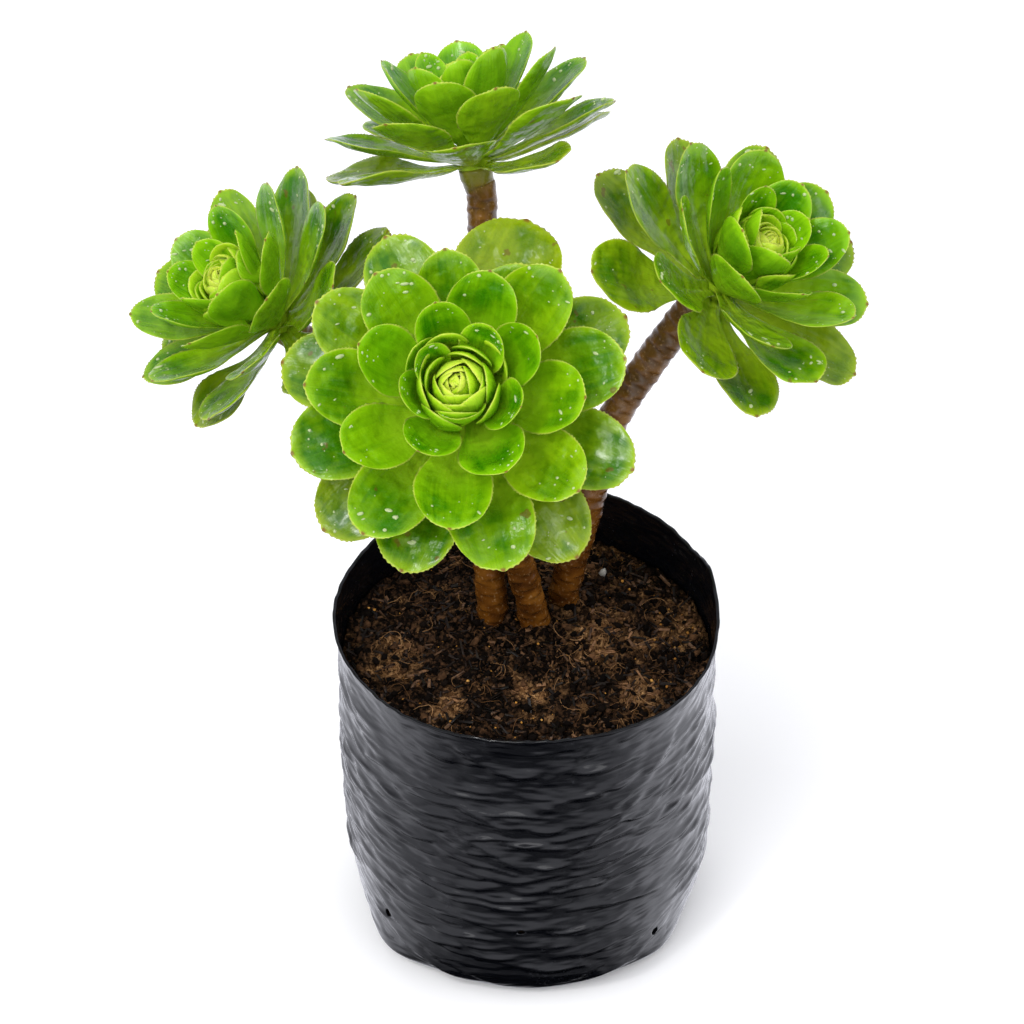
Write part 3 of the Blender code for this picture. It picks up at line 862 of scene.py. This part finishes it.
# %% Finishes of the loose bits
def bit_finish(name, roughness, *stops, grain=600, shine=0.12):
    """A finish whose colour is drawn for each bit."""
    finish = Finish(name, Specular_IOR_Level=shine)
    mottle = finish.noise(grain, 2)
    tint = finish.ramp(finish.attribute("luck") * 0.85 + mottle * 0.4 - 0.12, *stops)
    rough = roughness + mottle * 0.1
    return finish.shade(Base_Color=tint, Roughness=rough, Normal=finish.bump(mottle, 0.3 * MM))


crumb = bit_finish("crumb", 0.85, (0, 2, 1, 1), (0.5, 18, 11, 7), (1, 120, 84, 56))
bark_chip = bit_finish("bark_chip", 0.45, (0, 3, 2, 1), (0.5, 30, 18, 12), (1, 164, 118, 80), shine=0.4)
coir = bit_finish("coir", 0.7, (0, 40, 25, 13), (0.5, 104, 72, 43), (1, 196, 150, 104))
grit = bit_finish("grit", 0.45, (0, 120, 74, 30), (0.6, 196, 138, 62), (1, 232, 200, 130))
pebble = bit_finish("pebble", 0.6, (0, 150, 146, 140), (1, 214, 210, 204), grain=900)
PEBBLE_PLACES = [(33 * MM, 48 * MM)]
one_pebble = scatter_lumps(1, 16, 2.1 * MM, 2.1 * MM, 0.8, 0, 0.15, PEBBLE_PLACES)

hand_over(scatter_lumps(2400, 11, 0.35 * MM, 2.3 * MM), "soil_crumbs", crumb, "soil")
hand_over(scatter_flakes(900, 12, 8 * MM, 1.7 * MM, 0.6 * MM), "soil_bark", bark_chip, "soil")
hand_over(scatter_threads(300, 13, 12 * MM, 0.28 * MM), "soil_coir", coir, "soil")
hand_over(scatter_lumps(110, 14, 0.35 * MM, 0.9 * MM, 0.8, 0.1, 0.2), "soil_grit", grit, "soil")
hand_over(one_pebble, "soil_pebble", pebble, "soil")

# %% [markdown]
# ## The stems
# Each stem follows the same route as its solid. A smooth curve is drawn through
# the route's points, and a fine grid is rolled up round it. The forked stem is two such rods
# joined by a union. The relief comes after that, so that it runs on over the fork.

# %% Heads: where they sit and which way they face
GROWTH = dict(
    lowest_pitch=-4, inmost_pitch=79, pitch_power=1.15, lowest_bend=20, inmost_bend=50,
    inmost_length=0.16, length_power=2.5, inmost_width=0.22,
)


class Head:
    """One head of leaves: its seat, the way it faces, and how its leaves grow."""

    def __init__(self, name, seat, faces, leaves, first_turn, hand, seed, odd_leaves=None, **growth):
        self.name, self.leaves, self.hand, self.seed = name, leaves, hand, seed
        self.seat = Vector(seat) * MM
        self.axis = Vector(faces).normalized()
        self.first_turn = math.radians(first_turn)
        self.odd_leaves = odd_leaves or {}
        self.growth = {**GROWTH, **growth}

    def frame(self):
        """Local X points up the slope of the head, local Z along its axis."""
        uphill = (Vector((0, 0, 1)) - self.axis * self.axis.z).normalized()
        turn = Matrix((uphill, self.axis.cross(uphill), self.axis)).transposed().to_4x4()
        return Matrix.Translation(self.seat) @ turn


HEADS = {head.name: head for head in (
    Head(
        "front", (-25, -30, 298), (-0.05, -0.65, 0.76), leaves=44, first_turn=135, hand=-1, seed=1,
        odd_leaves={
            1: {"turn": -13, "length": 1.1, "width": 1.25},
            9: {"length": 0.84}, 14: {"length": 0.84, "width": 0.82},
        },
        length=65.5, width=34.5, core=17, lowest_bend=3, inmost_length=0.15,
    ),
    Head(
        "left", (-99.5, 40, 283), (-0.635, -0.14, 0.76), leaves=40, first_turn=339, hand=-1, seed=1,
        odd_leaves={0: {"turn": 11}, 1: {"length": 0.84}, 6: {"length": 0.92}},
        length=57, width=30, core=18,
    ),
    Head(
        "right", (73, 38, 301), (0.52, -0.26, 0.81), leaves=42, first_turn=218, hand=1, seed=2,
        odd_leaves={2: {"length": 0.9}}, length=58.5, width=32, core=20,
        lowest_pitch=-12, pitch_power=0.9, lowest_bend=18, length_power=2.6,
    ),
    Head(
        "back", (-21.5, 66.5, 342.5), (-0.19, 0.355, 0.915), leaves=40, first_turn=92, hand=1, seed=1,
        length=56.5, width=31, core=16, lowest_pitch=0, lowest_bend=10, length_power=2.6,
    ),
)}
print("heads:", ", ".join(HEADS))

# %% Routes of the stems
LEAD_IN = 14 * MM
ROUTES = {
    "front": ((4, 14, 110), (3.5, 14, 130), (2, 14, 152), (-5, 12.5, 185), (-13, 9, 225), (-21, -2, 262)),
    "left": (
        (-14, 18, 110), (-14, 18, 130), (-15, 18, 152), (-19, 22, 190),
        (-34, 28, 220), (-62, 34, 245), (-85, 40, 264),
    ),
    "right": (
        (12.5, 29, 110), (13.5, 28.5, 130), (16, 28, 152),
        (25, 30, 196), (34, 35, 236), (51, 40, 267),
    ),
    "back": ((-16, 19, 176), (-19, 27, 205), (-20, 40, 250), (-19, 51, 295)),
}
STEM_RADII = {"front": (6.3, 6.6), "left": (6.8, 6.4), "right": (6.5, 6.9), "back": (5.2, 6.2)}
STEM_STEP = 0.8 * MM
STEM_SIDES = 48
CURVE_SHARES = 24


def smooth_path(route, step):
    """Points at an even step along a smooth curve through a route's points."""
    ends = [route[0] * 2 - route[1]] + route + [route[-1] * 2 - route[-2]]
    fine = []
    for before, start, end, after in zip(ends, ends[1:], ends[2:], ends[3:]):
        for share in np.linspace(0, 1, CURVE_SHARES, endpoint=False):
            square, cube = share ** 2, share ** 3
            fine.append(0.5 * (
                2 * start + (end - before) * share
                + (2 * before - 5 * start + 4 * end - after) * square
                + (3 * start - before - 3 * end + after) * cube
            ))
    fine.append(route[-1])
    reach = [0.0]
    for start, end in zip(fine, fine[1:]):
        reach.append(reach[-1] + (end - start).length)
    stops = np.linspace(0, reach[-1], round(reach[-1] / step) + 1)
    columns = [np.interp(stops, reach, [point[axis] for point in fine]) for axis in range(3)]
    return [Vector(point) for point in zip(*columns)]


def stem_path(name):
    """The middle line of a stem, up to its head."""
    head = HEADS[name]
    route = [Vector(point) * MM for point in ROUTES[name]]
    lead = [head.seat - head.axis * far for far in (LEAD_IN, LEAD_IN / 2, 0)]
    return smooth_path(route + lead, STEM_STEP)


PATHS = {name: stem_path(name) for name in ROUTES}
print("stem lengths in mm:", {name: round(len(path) * STEM_STEP / MM) for name, path in PATHS.items()})

# %% [markdown]
# As the plant grows it drops its lowest leaves, and each leaves a scar: a low, wide lens with a
# sharp lower lip. The scars follow the same golden-angle spiral as the leaves did. The foot of
# a stem is wet and dark, the middle drier and paler, and right below its head it is still
# green.

# %% Leaf scars
GOLDEN_ANGLE = math.radians(137.508)
SCAR_PITCH = 1.05 * MM
SCAR_WIDE, SCAR_TALL, SCAR_HIGH = 4.2 * MM, 1.4 * MM, 0.5 * MM
SCARS_NEAR = 5
KNOB_SIZE, KNOB_HIGH = 7 * MM, 0.6 * MM


def scar_at(reach, angle, radius):
    """Height of the nearest leaf scars, and how near a point is to a lip, both from 0 to 1."""
    nearest = round(reach / SCAR_PITCH)
    high, lip = 0.0, 0.0
    for number in range(nearest - SCARS_NEAR, nearest + SCARS_NEAR + 1):
        aside = turn_between(angle, number * GOLDEN_ANGLE) * radius
        above = reach - number * SCAR_PITCH + 0.9 * MM * (aside / SCAR_WIDE) ** 2
        width = bell(aside, SCAR_WIDE)
        tall = SCAR_TALL * (0.4 if above < 0 else 1.4)
        high = max(high, width * bell(above, tall))
        lip = max(lip, width * bell(above + 0.7 * MM, 0.5 * MM))
    return high, lip


def scar_stem(mesh, names):
    """Raises the scars on a smooth stem, and keeps what its finish needs on its points."""
    tree = kdtree.KDTree(sum(len(PATHS[name]) for name in names))
    spots = []
    for name in names:
        for number, spot in enumerate(frames_along(PATHS[name])):
            tree.insert(spot[0], len(spots))
            spots.append((name, number, spot))
    tree.balance()
    layers = {key: mesh.verts.layers.float.new(key) for key in ("scar", "lip", "green")}
    mesh.normal_update()
    pushes = []
    for vert in mesh.verts:
        name, number, (centre, side, up) = spots[tree.find(vert.co)[1]]
        away = vert.co - centre
        angle = math.atan2(away.dot(up), away.dot(side))
        left = (len(PATHS[name]) - 1 - number) * STEM_STEP
        high, lip = scar_at(number * STEM_STEP, angle, away.length)
        fade = min(1, left / (8 * MM))
        vert[layers["scar"]], vert[layers["lip"]] = high * fade, lip * fade
        vert[layers["green"]] = bell(left, 12 * MM)
        swell = 0.6 * MM * bell(left, 9 * MM) + 0.9 * MM * bell(vert.co.z - 142 * MM, 7 * MM)
        free = 0.0 if left < STEM_STEP or number < 2 else 1.0
        knob = KNOB_HIGH * noise.noise(vert.co / KNOB_SIZE)
        pushes.append(free * (SCAR_HIGH * fade * (high - 0.45) + knob + swell))
    for vert, push in zip(mesh.verts, pushes):
        vert.co += vert.normal * push


# %% Finish of the stems
def bark_finish():
    bark = Finish("stem_bark", Specular_IOR_Level=0.3, Coat_Roughness=0.12)
    scar, lip, green = (bark.attribute(name) for name in ("scar", "lip", "green"))
    height = bark.node("ShaderNodeSeparateXYZ", inputs={"Vector": bark.place}, output="Z")
    patches, grain = bark.noise(85, 3), bark.noise(700, 3)
    skin = bark.ramp(
        patches, (0.3, 46, 22, 5), (0.45, 78, 42, 10), (0.6, 110, 66, 18), (0.75, 136, 90, 34),
    )
    dry = bark.mix(height.step(0.16, 0.27) * (0.1 + patches * 0.4), skin, colour(138, 108, 52))
    # Painted shade: a dark line under the lower lip of each leaf scar. Painted highlight: the raised scars
    # are made lighter.
    lip_shadowed = bark.mix(lip * 0.6, dry, colour(46, 22, 8))
    lit = bark.mix(scar * 0.25, lip_shadowed, colour(140, 88, 30))
    pale = bark.mix(grain.step(0.6, 0.72) * 0.45, lit, colour(178, 142, 98))
    fresh = bark.mix(green.step(0.45, 1.0) * 0.8, pale, colour(122, 126, 36))
    wet = 1 - height.step(0.15, 0.2)
    return bark.shade(
        Base_Color=fresh, Roughness=0.16 + grain * 0.2, Coat_Weight=0.15 + wet * 0.6,
        Normal=bark.bump(grain, 0.25 * MM, 0.6),
    )


def make_stems(material):
    """Three stems, one of them forked."""
    for name in ("front", "right", "left"):
        parts = ["left", "back"] if name == "left" else [name]
        rods = [bmesh.new() for _ in parts]
        for mesh, part in zip(rods, parts):
            rod(mesh, PATHS[part], [radius * MM for radius in STEM_RADII[part]], STEM_SIDES)
        mesh = rods[0]
        if len(rods) > 1:
            trunk, branch = (as_object(part, "rod") for part in rods)
            mesh = bmesh.new()
            mesh.from_mesh(boolean(trunk, "UNION", object=branch))
            bpy.data.objects.remove(trunk, do_unlink=True)
        scar_stem(mesh, parts)
        hand_over(mesh, f"bark_{name}", material, "bark", f"stem_{name}")


make_stems(bark_finish())

# %% [markdown]
# ## The leaves
# A leaf of this plant is a spoon: a narrow channelled neck that widens into a round, shallow
# bowl, a little over two millimetres thick, with a soft rounded edge and a tiny point at its
# tip. One rule gives every leaf. A square grid is bent to that outline and copied, the two
# sheets are bowed apart by the leaf's thickness, and their edges are merged. The oldest leaves
# lie lowest and flattest, and each younger one stands a golden angle further on, steeper,
# shorter and more cupped.

# %% How the leaves of a head grow
TURN_SPREAD, PITCH_SPREAD = math.radians(4), math.radians(3)
LENGTH_SPREAD, WIDTH_SPREAD = 0.04, 0.05
CORE_RADIUS = 7 * MM
BUD_START = 0.76


def leaf_sizes(head, number):
    """Sizes of one leaf; number 0 is the oldest and lowest."""
    grow = head.growth
    youth = number / (head.leaves - 1)
    draw = np.random.default_rng(head.seed * 1000 + number)
    odd = {"turn": 0, "length": 1, "width": 1, **head.odd_leaves.get(number, {})}
    turn = head.first_turn + head.hand * GOLDEN_ANGLE * number
    turn += draw.uniform(-TURN_SPREAD, TURN_SPREAD)
    pitches = (grow["lowest_pitch"], grow["inmost_pitch"])
    pitch = np.interp(youth ** grow["pitch_power"], (0, 1), pitches)
    bend = np.interp(youth ** 1.5, (0, 1), (grow["lowest_bend"], grow["inmost_bend"]))
    length = odd["length"] * (1 - (1 - grow["inmost_length"]) * youth ** grow["length_power"])
    width = odd["width"] * (1 - (1 - grow["inmost_width"]) * youth ** 2.2)
    return {
        "turn": turn + math.radians(odd["turn"]),
        "youth": youth,
        "pitch": math.radians(pitch) + draw.uniform(-PITCH_SPREAD, PITCH_SPREAD),
        "bend": math.radians(bend),
        "length": grow["length"] * MM * length * (1 + draw.uniform(-LENGTH_SPREAD, LENGTH_SPREAD)),
        "width": grow["width"] * MM * width * (1 + draw.uniform(-WIDTH_SPREAD, WIDTH_SPREAD)),
        "cup": 25 + 300 * youth ** 5,
        "height": grow["core"] * MM * youth,
        "out": CORE_RADIUS * (1 - 0.75 * youth),
        "thick": (2.4 - 1.4 * youth) * MM,
        "luck": draw.uniform(0, 1),
        "twist": draw.normal(0, 0.09) * (1 - youth),
        "wave": draw.uniform(0, 2 * math.pi),
    }


# %% [markdown]
# The youngest leaves are small upright scales that fold over each other like a rose. They
# stand on rings that shrink towards the middle, each bent round the axis as tightly as its
# ring. How high it stands and how far it nods inwards is drawn, so that no two sit alike.

# %% The scales of the bud
BUD_SCALES = 36
BUD_RADIUS = 13.5 * MM
BUD_TOP = 25 * MM


def scale_sizes(head, number):
    """Sizes of one scale of the bud; number 0 is the outermost."""
    inwards = number / (BUD_SCALES - 1)
    draw = np.random.default_rng(head.seed * 1000 + 500 + number)
    grow = head.growth["length"] / 65.5
    radius = (BUD_RADIUS * (1 - inwards) ** 0.8 + 0.8 * MM) * grow
    length = (27 - 15 * inwards ** 0.7) * MM * grow
    top = head.growth["core"] * MM + BUD_TOP * grow + draw.uniform(-2.6, 1.4) * MM
    return {
        "turn": head.hand * GOLDEN_ANGLE * (number + head.leaves) + draw.uniform(-0.3, 0.3),
        "youth": BUD_START + (1 - BUD_START) * inwards,
        "pitch": math.radians(66 + 18 * inwards ** 0.5),
        "bend": math.radians(20 + 22 * inwards + draw.uniform(-14, 16)),
        "length": length,
        "width": min((20 - 9 * inwards) * MM * grow, 2.2 * radius + 2.6 * MM),
        "cup": 0.75 / radius,
        "height": top - 0.92 * length,
        "out": radius,
        "thick": (1.9 - 0.8 * inwards) * MM,
        "luck": draw.uniform(0, 1),
        "twist": draw.normal(0, 0.05),
        "wave": draw.uniform(0, 2 * math.pi),
    }


# %% The shape of one leaf
NECK_WIDTH, HEAD_START = 0.26, 0.68
LEAF_SINK = 3 * MM
TIP_POINT = 0.016
WAVE_HIGH = 1.5 * MM
DIMPLES = ((17 * MM, 1.9 * MM), (7.5 * MM, 1.0 * MM))
UPPER_SHARE = 0.4
CHANNEL_DEEP = 0.9 * MM


def leaf_outline(leaf, across, along):
    """Distance from the centre line, share of the length, and how full the flesh is there."""
    half = leaf["width"] / 2
    full = math.sqrt(max(0, 1 - across * across))
    if along < 0.5:
        neck = along * 2
        spread = NECK_WIDTH + (1 - NECK_WIDTH) * (neck * neck * (3 - 2 * neck)) ** 1.4
        return half * across * spread, HEAD_START * neck, full * min(1, 6 * neck)
    bowl = along * 2 - 1
    share = HEAD_START + (1 - HEAD_START) * bowl * math.sqrt(1 - across * across / 2)
    share += TIP_POINT * bell(across, 0.1) * bowl ** 10
    full *= math.sqrt(max(0, 1 - bowl ** 3))
    return half * across * math.sqrt(1 - bowl * bowl / 2), share, full


def leaf_place(leaf, across, along, side):
    """A point of a leaf in its head's frame; side is 1 on the upper face and -1 on the lower."""
    aside, share, full = leaf_outline(leaf, across, along)
    here = leaf["pitch"] + leaf["bend"] * share
    out = leaf["out"] + leaf["length"] * (math.sin(here) - math.sin(leaf["pitch"])) / leaf["bend"]
    up = leaf["height"] + leaf["length"] * (math.cos(leaf["pitch"]) - math.cos(here)) / leaf["bend"]
    if along == 0:
        out -= LEAF_SINK * math.cos(here)
        up -= LEAF_SINK * math.sin(here)
    cup = leaf["cup"] * (1 + 1.6 * (1 - share) ** 2)
    turned = aside * cup
    keel = 1 + 0.25 * bell(across, 0.3) * (side < 0)
    lift = full * leaf["thick"] * keel * (UPPER_SHARE if side > 0 else UPPER_SHARE - 1)
    seen = Vector((aside, share * leaf["length"], leaf["luck"] * 9 * MM))
    old = (1 - leaf["youth"]) ** 1.2
    lift += old * share * sum(deep * noise.noise(seen / size) for size, deep in DIMPLES)
    lift -= CHANNEL_DEEP * bell(across, 0.2) * math.sqrt(max(0, 1 - share)) * (side > 0)
    rim = across * across * share
    lift += WAVE_HIGH * old * rim * math.sin(8 * share + leaf["wave"] + 1.3 * across)
    inward = (1 - math.cos(turned)) / cup + lift * math.cos(turned) + aside * leaf["twist"] * share
    sideways = math.sin(turned) / cup - lift * math.sin(turned)
    out -= inward * math.sin(here)
    up += inward * math.cos(here)
    turn = leaf["turn"]
    return Vector((
        out * math.cos(turn) - sideways * math.sin(turn),
        out * math.sin(turn) + sideways * math.cos(turn),
        up,
    ))


# %% A pillow to bend leaves from
def pillow(mesh, across, along):
    """Two square sheets joined round their edge, at heights 1 and -1, and 0 at the edge."""
    for height in (1, -1):
        sheet = bmesh.ops.create_grid(mesh, x_segments=across, y_segments=along, size=1)["verts"]
        for vert in sheet:
            vert.co.z = 0 if vert.is_boundary else height
    bmesh.ops.remove_doubles(mesh, verts=mesh.verts, dist=MERGE)
    bmesh.ops.recalc_face_normals(mesh, faces=mesh.faces)


OLD_PILLOW = small_mesh("old_pillow", pillow, across=16, along=28)
YOUNG_PILLOW = small_mesh("young_pillow", pillow, across=10, along=16)
MARGIN_SEEN = 5 * MM
print("an open leaf has", len(OLD_PILLOW.polygons), "faces, a scale", len(YOUNG_PILLOW.polygons))


# %% Grow a leaf onto its head
def mark(vert, layers, leaf, **more):
    """Keeps on a point what the finish needs to know of it."""
    for key, value in {"youth": leaf["youth"], "luck": leaf["luck"], **more}.items():
        vert[layers[key]] = value


def grow_leaf(mesh, layers, leaf, frame_of_head):
    """Stamps a pillow and bends it into one leaf."""
    for vert in stamp(mesh, OLD_PILLOW if leaf["youth"] < BUD_START else YOUNG_PILLOW):
        side = -1 if vert.co.z < 0 else 1
        across = math.sin(vert.co.x * math.pi / 2)
        along = (vert.co.y + 1) / 2
        if along > 0.5:
            along = 0.5 + 0.5 * math.sin((along - 0.5) * math.pi)
        share = leaf_outline(leaf, across, along)[1]
        end = leaf["length"] * (1 - HEAD_START) * (1 - max(0, along * 2 - 1))
        margin = min(1, min(leaf["width"] / 2 * (1 - abs(across)), end) / MARGIN_SEEN)
        mark(vert, layers, leaf, upper=max(0, side), margin=margin, share=share, aside=across)
        vert.co = frame_of_head @ leaf_place(leaf, across, along, side)


# %% [markdown]
# Seen close, the edge of a leaf carries a row of short pale hairs. A fringe is one folded
# strip for each leaf: its two outer rows of points are sunk in the leaf's edge, and every
# other point of the middle row is pulled out to a hair's tip.

# %% The fringe of a leaf
HAIRS = 40
HAIR_LONG, HAIR_ROOT, HAIR_THICK = 0.6 * MM, 0.35 * MM, 0.07 * MM
FRINGE_START, FRINGE_SIDE = 0.36, 0.3
STRIP = small_mesh("strip", bmesh.ops.create_grid, x_segments=2 * HAIRS, y_segments=2, size=1)


def round_the_rim(turn):
    """Where a leaf's edge is, from one side of the neck at 0 over the tip to the other at 1."""
    if turn < FRINGE_SIDE:
        return -1, FRINGE_START + (1 - FRINGE_START) * turn / FRINGE_SIDE
    if turn > 1 - FRINGE_SIDE:
        return 1, FRINGE_START + (1 - FRINGE_START) * (1 - turn) / FRINGE_SIDE
    return -math.cos(math.pi * (turn - FRINGE_SIDE) / (1 - 2 * FRINGE_SIDE)), 1


def add_fringe(mesh, layers, leaf, frame_of_head):
    """Adds a folded strip whose middle row is drawn out to tips."""
    draw = np.random.default_rng(int(leaf["luck"] * 10 ** 6))
    for vert in stamp(mesh, STRIP):
        column, row = round((vert.co.x + 1) * HAIRS), round(vert.co.y + 1)
        across, along = round_the_rim(column / (2 * HAIRS))
        edge = leaf_place(leaf, across, along, 1)
        inner = (across * 0.93, along - 0.02 * (along == 1))
        inside, below = (leaf_place(leaf, *inner, side) for side in (1, -1))
        outward = (edge - (inside + below) / 2).normalized()
        if row == 1:
            far = HAIR_LONG * (1 - 0.4 * leaf["youth"]) * draw.uniform(0.4, 1.1) * (column % 2)
        else:
            far = -HAIR_ROOT
        place = edge + outward * far + (inside - below).normalized() * HAIR_THICK * (row - 1)
        mark(vert, layers, leaf, upper=1, margin=0, share=0.6, aside=1)
        vert.co = frame_of_head @ place


# %% A whole head
LAYERS = ("youth", "luck", "upper", "margin", "share", "aside")


def make_head(head, material):
    """A whole head, with the green tip of its branch inside."""
    frame_of_head = head.frame()
    mesh = bmesh.new()
    layers = {key: mesh.verts.layers.float.new(key) for key in LAYERS}
    leaves = [leaf_sizes(head, number) for number in range(head.leaves)]
    leaves = [leaf for leaf in leaves if leaf["youth"] < BUD_START]
    for leaf in leaves + [scale_sizes(head, number) for number in range(BUD_SCALES)]:
        grow_leaf(mesh, layers, leaf, frame_of_head)
        add_fringe(mesh, layers, leaf, frame_of_head)
    tall = (head.growth["core"] + 3) * MM
    core = bmesh.ops.create_cone(
        mesh, cap_ends=True, segments=24, radius1=CORE_RADIUS, radius2=1.5 * MM, depth=tall,
    )
    for vert in core["verts"]:
        vert.co = frame_of_head @ (vert.co + Vector((0, 0, tall / 2)))
        mark(vert, layers, {"youth": 0.3, "luck": 0.5}, margin=1)
    return hand_over(mesh, f"leaves_{head.name}", material, "leaf", f"rosette_{head.name}")


# %% [markdown]
# Leaf green is not one colour. The oldest leaves are paler and yellower, the middle ones deep
# green, the bud a bright lime. Each leaf is darker in blotches towards its end and fades to
# yellow-green down its neck. Its edge is a thin pale line, and its tip a tiny brown point. Old
# leaves carry brown specks. The skin is waxy over soft flesh, most so on the upper face: low
# lumps under it break each highlight up, and a little light soaks in.

# %% Finish of the leaves
def leaf_finish():
    leaf = Finish(
        "leaf_flesh", Specular_IOR_Level=0.32, Coat_Roughness=0.18,
        Subsurface_Weight=0.15, Subsurface_Scale=0.004, Subsurface_Radius=(0.6, 1.0, 0.15),
    )
    youth, luck, upper, margin, share, aside = (leaf.attribute(name) for name in LAYERS)
    cloud, lumps, fine = leaf.noise(70, 3), leaf.noise(125, 1.5), leaf.noise(560, 3)
    spots, specks = leaf.noise(150, 2), leaf.noise(800, 2)
    along_it = {"X": aside * 5, "Y": share * 1.6, "Z": luck * 9}
    streaks = leaf.noise(1.0, 2, leaf.node("ShaderNodeCombineXYZ", inputs=along_it))
    age = leaf.ramp(
        youth + (luck - 0.5) * 0.16, (0, 136, 160, 14), (0.25, 134, 174, 10), (0.55, 124, 182, 6),
        (0.76, 146, 204, 14), (0.86, 190, 228, 38), (1, 236, 248, 96),
    )
    deep = leaf.mix(1.0, age, colour(112, 166, 70), "MULTIPLY")
    patch = luck * 0.45 + cloud.step(0.4, 0.6) * 0.45 + streaks.step(0.3, 0.7) * 0.3
    blotch = share.step(0.35, 0.75) * margin.step(0.0, 1.0) * patch * (1 - youth.step(0.8, 0.9))
    body = leaf.mix(blotch, age, deep)
    low = (1 - share.step(0.1, 0.75)) * (1 - abs(aside) * 0.5) * 0.75
    neck = leaf.mix(low, body, colour(188, 220, 48))
    below = leaf.mix(upper, leaf.mix(0.3, neck, colour(140, 180, 30)), neck)
    edge = leaf.mix((1 - margin.step(0.0, 0.14)) * 0.65, below, colour(196, 208, 78))
    aged = 1 - youth.step(0.25, 0.6)
    brown = spots.step(0.7, 0.74) * aged + specks.step(0.74, 0.78) * aged * (1 - margin.step(0.1, 0.7))
    spotted = leaf.mix(brown * 0.65, edge, colour(104, 78, 28))
    tip = share.step(0.985, 1.004) * (1 - abs(aside).step(0.03, 0.12)) * (1 - youth.step(0.6, 0.8))
    tipped = leaf.mix(tip * 0.85, spotted, colour(120, 66, 34))
    relief = fine * 0.08 + lumps * (1 - youth.step(0.2, 0.7) * 0.6) + streaks * 0.25
    return leaf.shade(
        Base_Color=tipped, Roughness=0.16 + cloud * 0.12 + fine * 0.08,
        Coat_Weight=0.06 + upper * 0.28, Normal=leaf.bump(relief, 2.8 * MM),
    )


green = leaf_finish()
for head in HEADS.values():
    make_head(head, green)

# %% [markdown]
# ## Water drops
# The plant has just been sprayed. Drops sit on the upper faces of the open leaves: each
# is a ball, flattened against the leaf, with its foot sunk in the skin. They are only half
# clear: their pale, whitish base colour is a painted glint that makes them show.

# %% Drops on the leaves
DROPS, DROP_SEED = 220, 21
DROP_SMALL, DROP_LARGE, DROP_FLAT = 0.28 * MM, 0.95 * MM, 0.55
DROP_YOUTH = 0.75
NUDGE = 0.02


def scatter_drops():
    """Flattened balls on random leaves of every head."""
    draw = np.random.default_rng(DROP_SEED)
    mesh = bmesh.new()
    for head in HEADS.values():
        frame_of_head = head.frame()
        for _ in range(DROPS):
            leaf = leaf_sizes(head, draw.integers(0, int(head.leaves * DROP_YOUTH)))
            across, along = draw.uniform(-0.8, 0.8), draw.uniform(0.6, 0.95)
            spot, beside, ahead = (
                frame_of_head @ leaf_place(leaf, *where, 1)
                for where in ((across, along), (across + NUDGE, along), (across, along + NUDGE))
            )
            up = (ahead - spot).cross(spot - beside).normalized()
            half = DROP_SMALL + (DROP_LARGE - DROP_SMALL) * draw.uniform(0, 1) ** 3
            turn = up.to_track_quat("Z", "Y").to_matrix().to_4x4()
            long = half * (0.8 + 2.2 * draw.uniform(0, 1) ** 3)
            stretch = Matrix.Diagonal((long, half, half * DROP_FLAT, 1))
            matrix = Matrix.Translation(spot) @ turn @ stretch
            for vert in stamp(mesh, ball):
                vert.co = matrix @ vert.co
    return mesh


# Painted glint: half of each drop is a pale, whitish colour instead of clear water, so it shows as a light
# speck.
water = Finish(
    "water", Base_Color=colour(232, 246, 186), Roughness=0.06, Transmission_Weight=0.5, IOR=1.33,
).material
hand_over(scatter_drops(), "water_drops", water, "leaf")

# %% [markdown]
# ## The last look
# The number of triangles made is printed.

# %% Sizes, and the end
print("triangles made:", sum(made_triangles.values()))
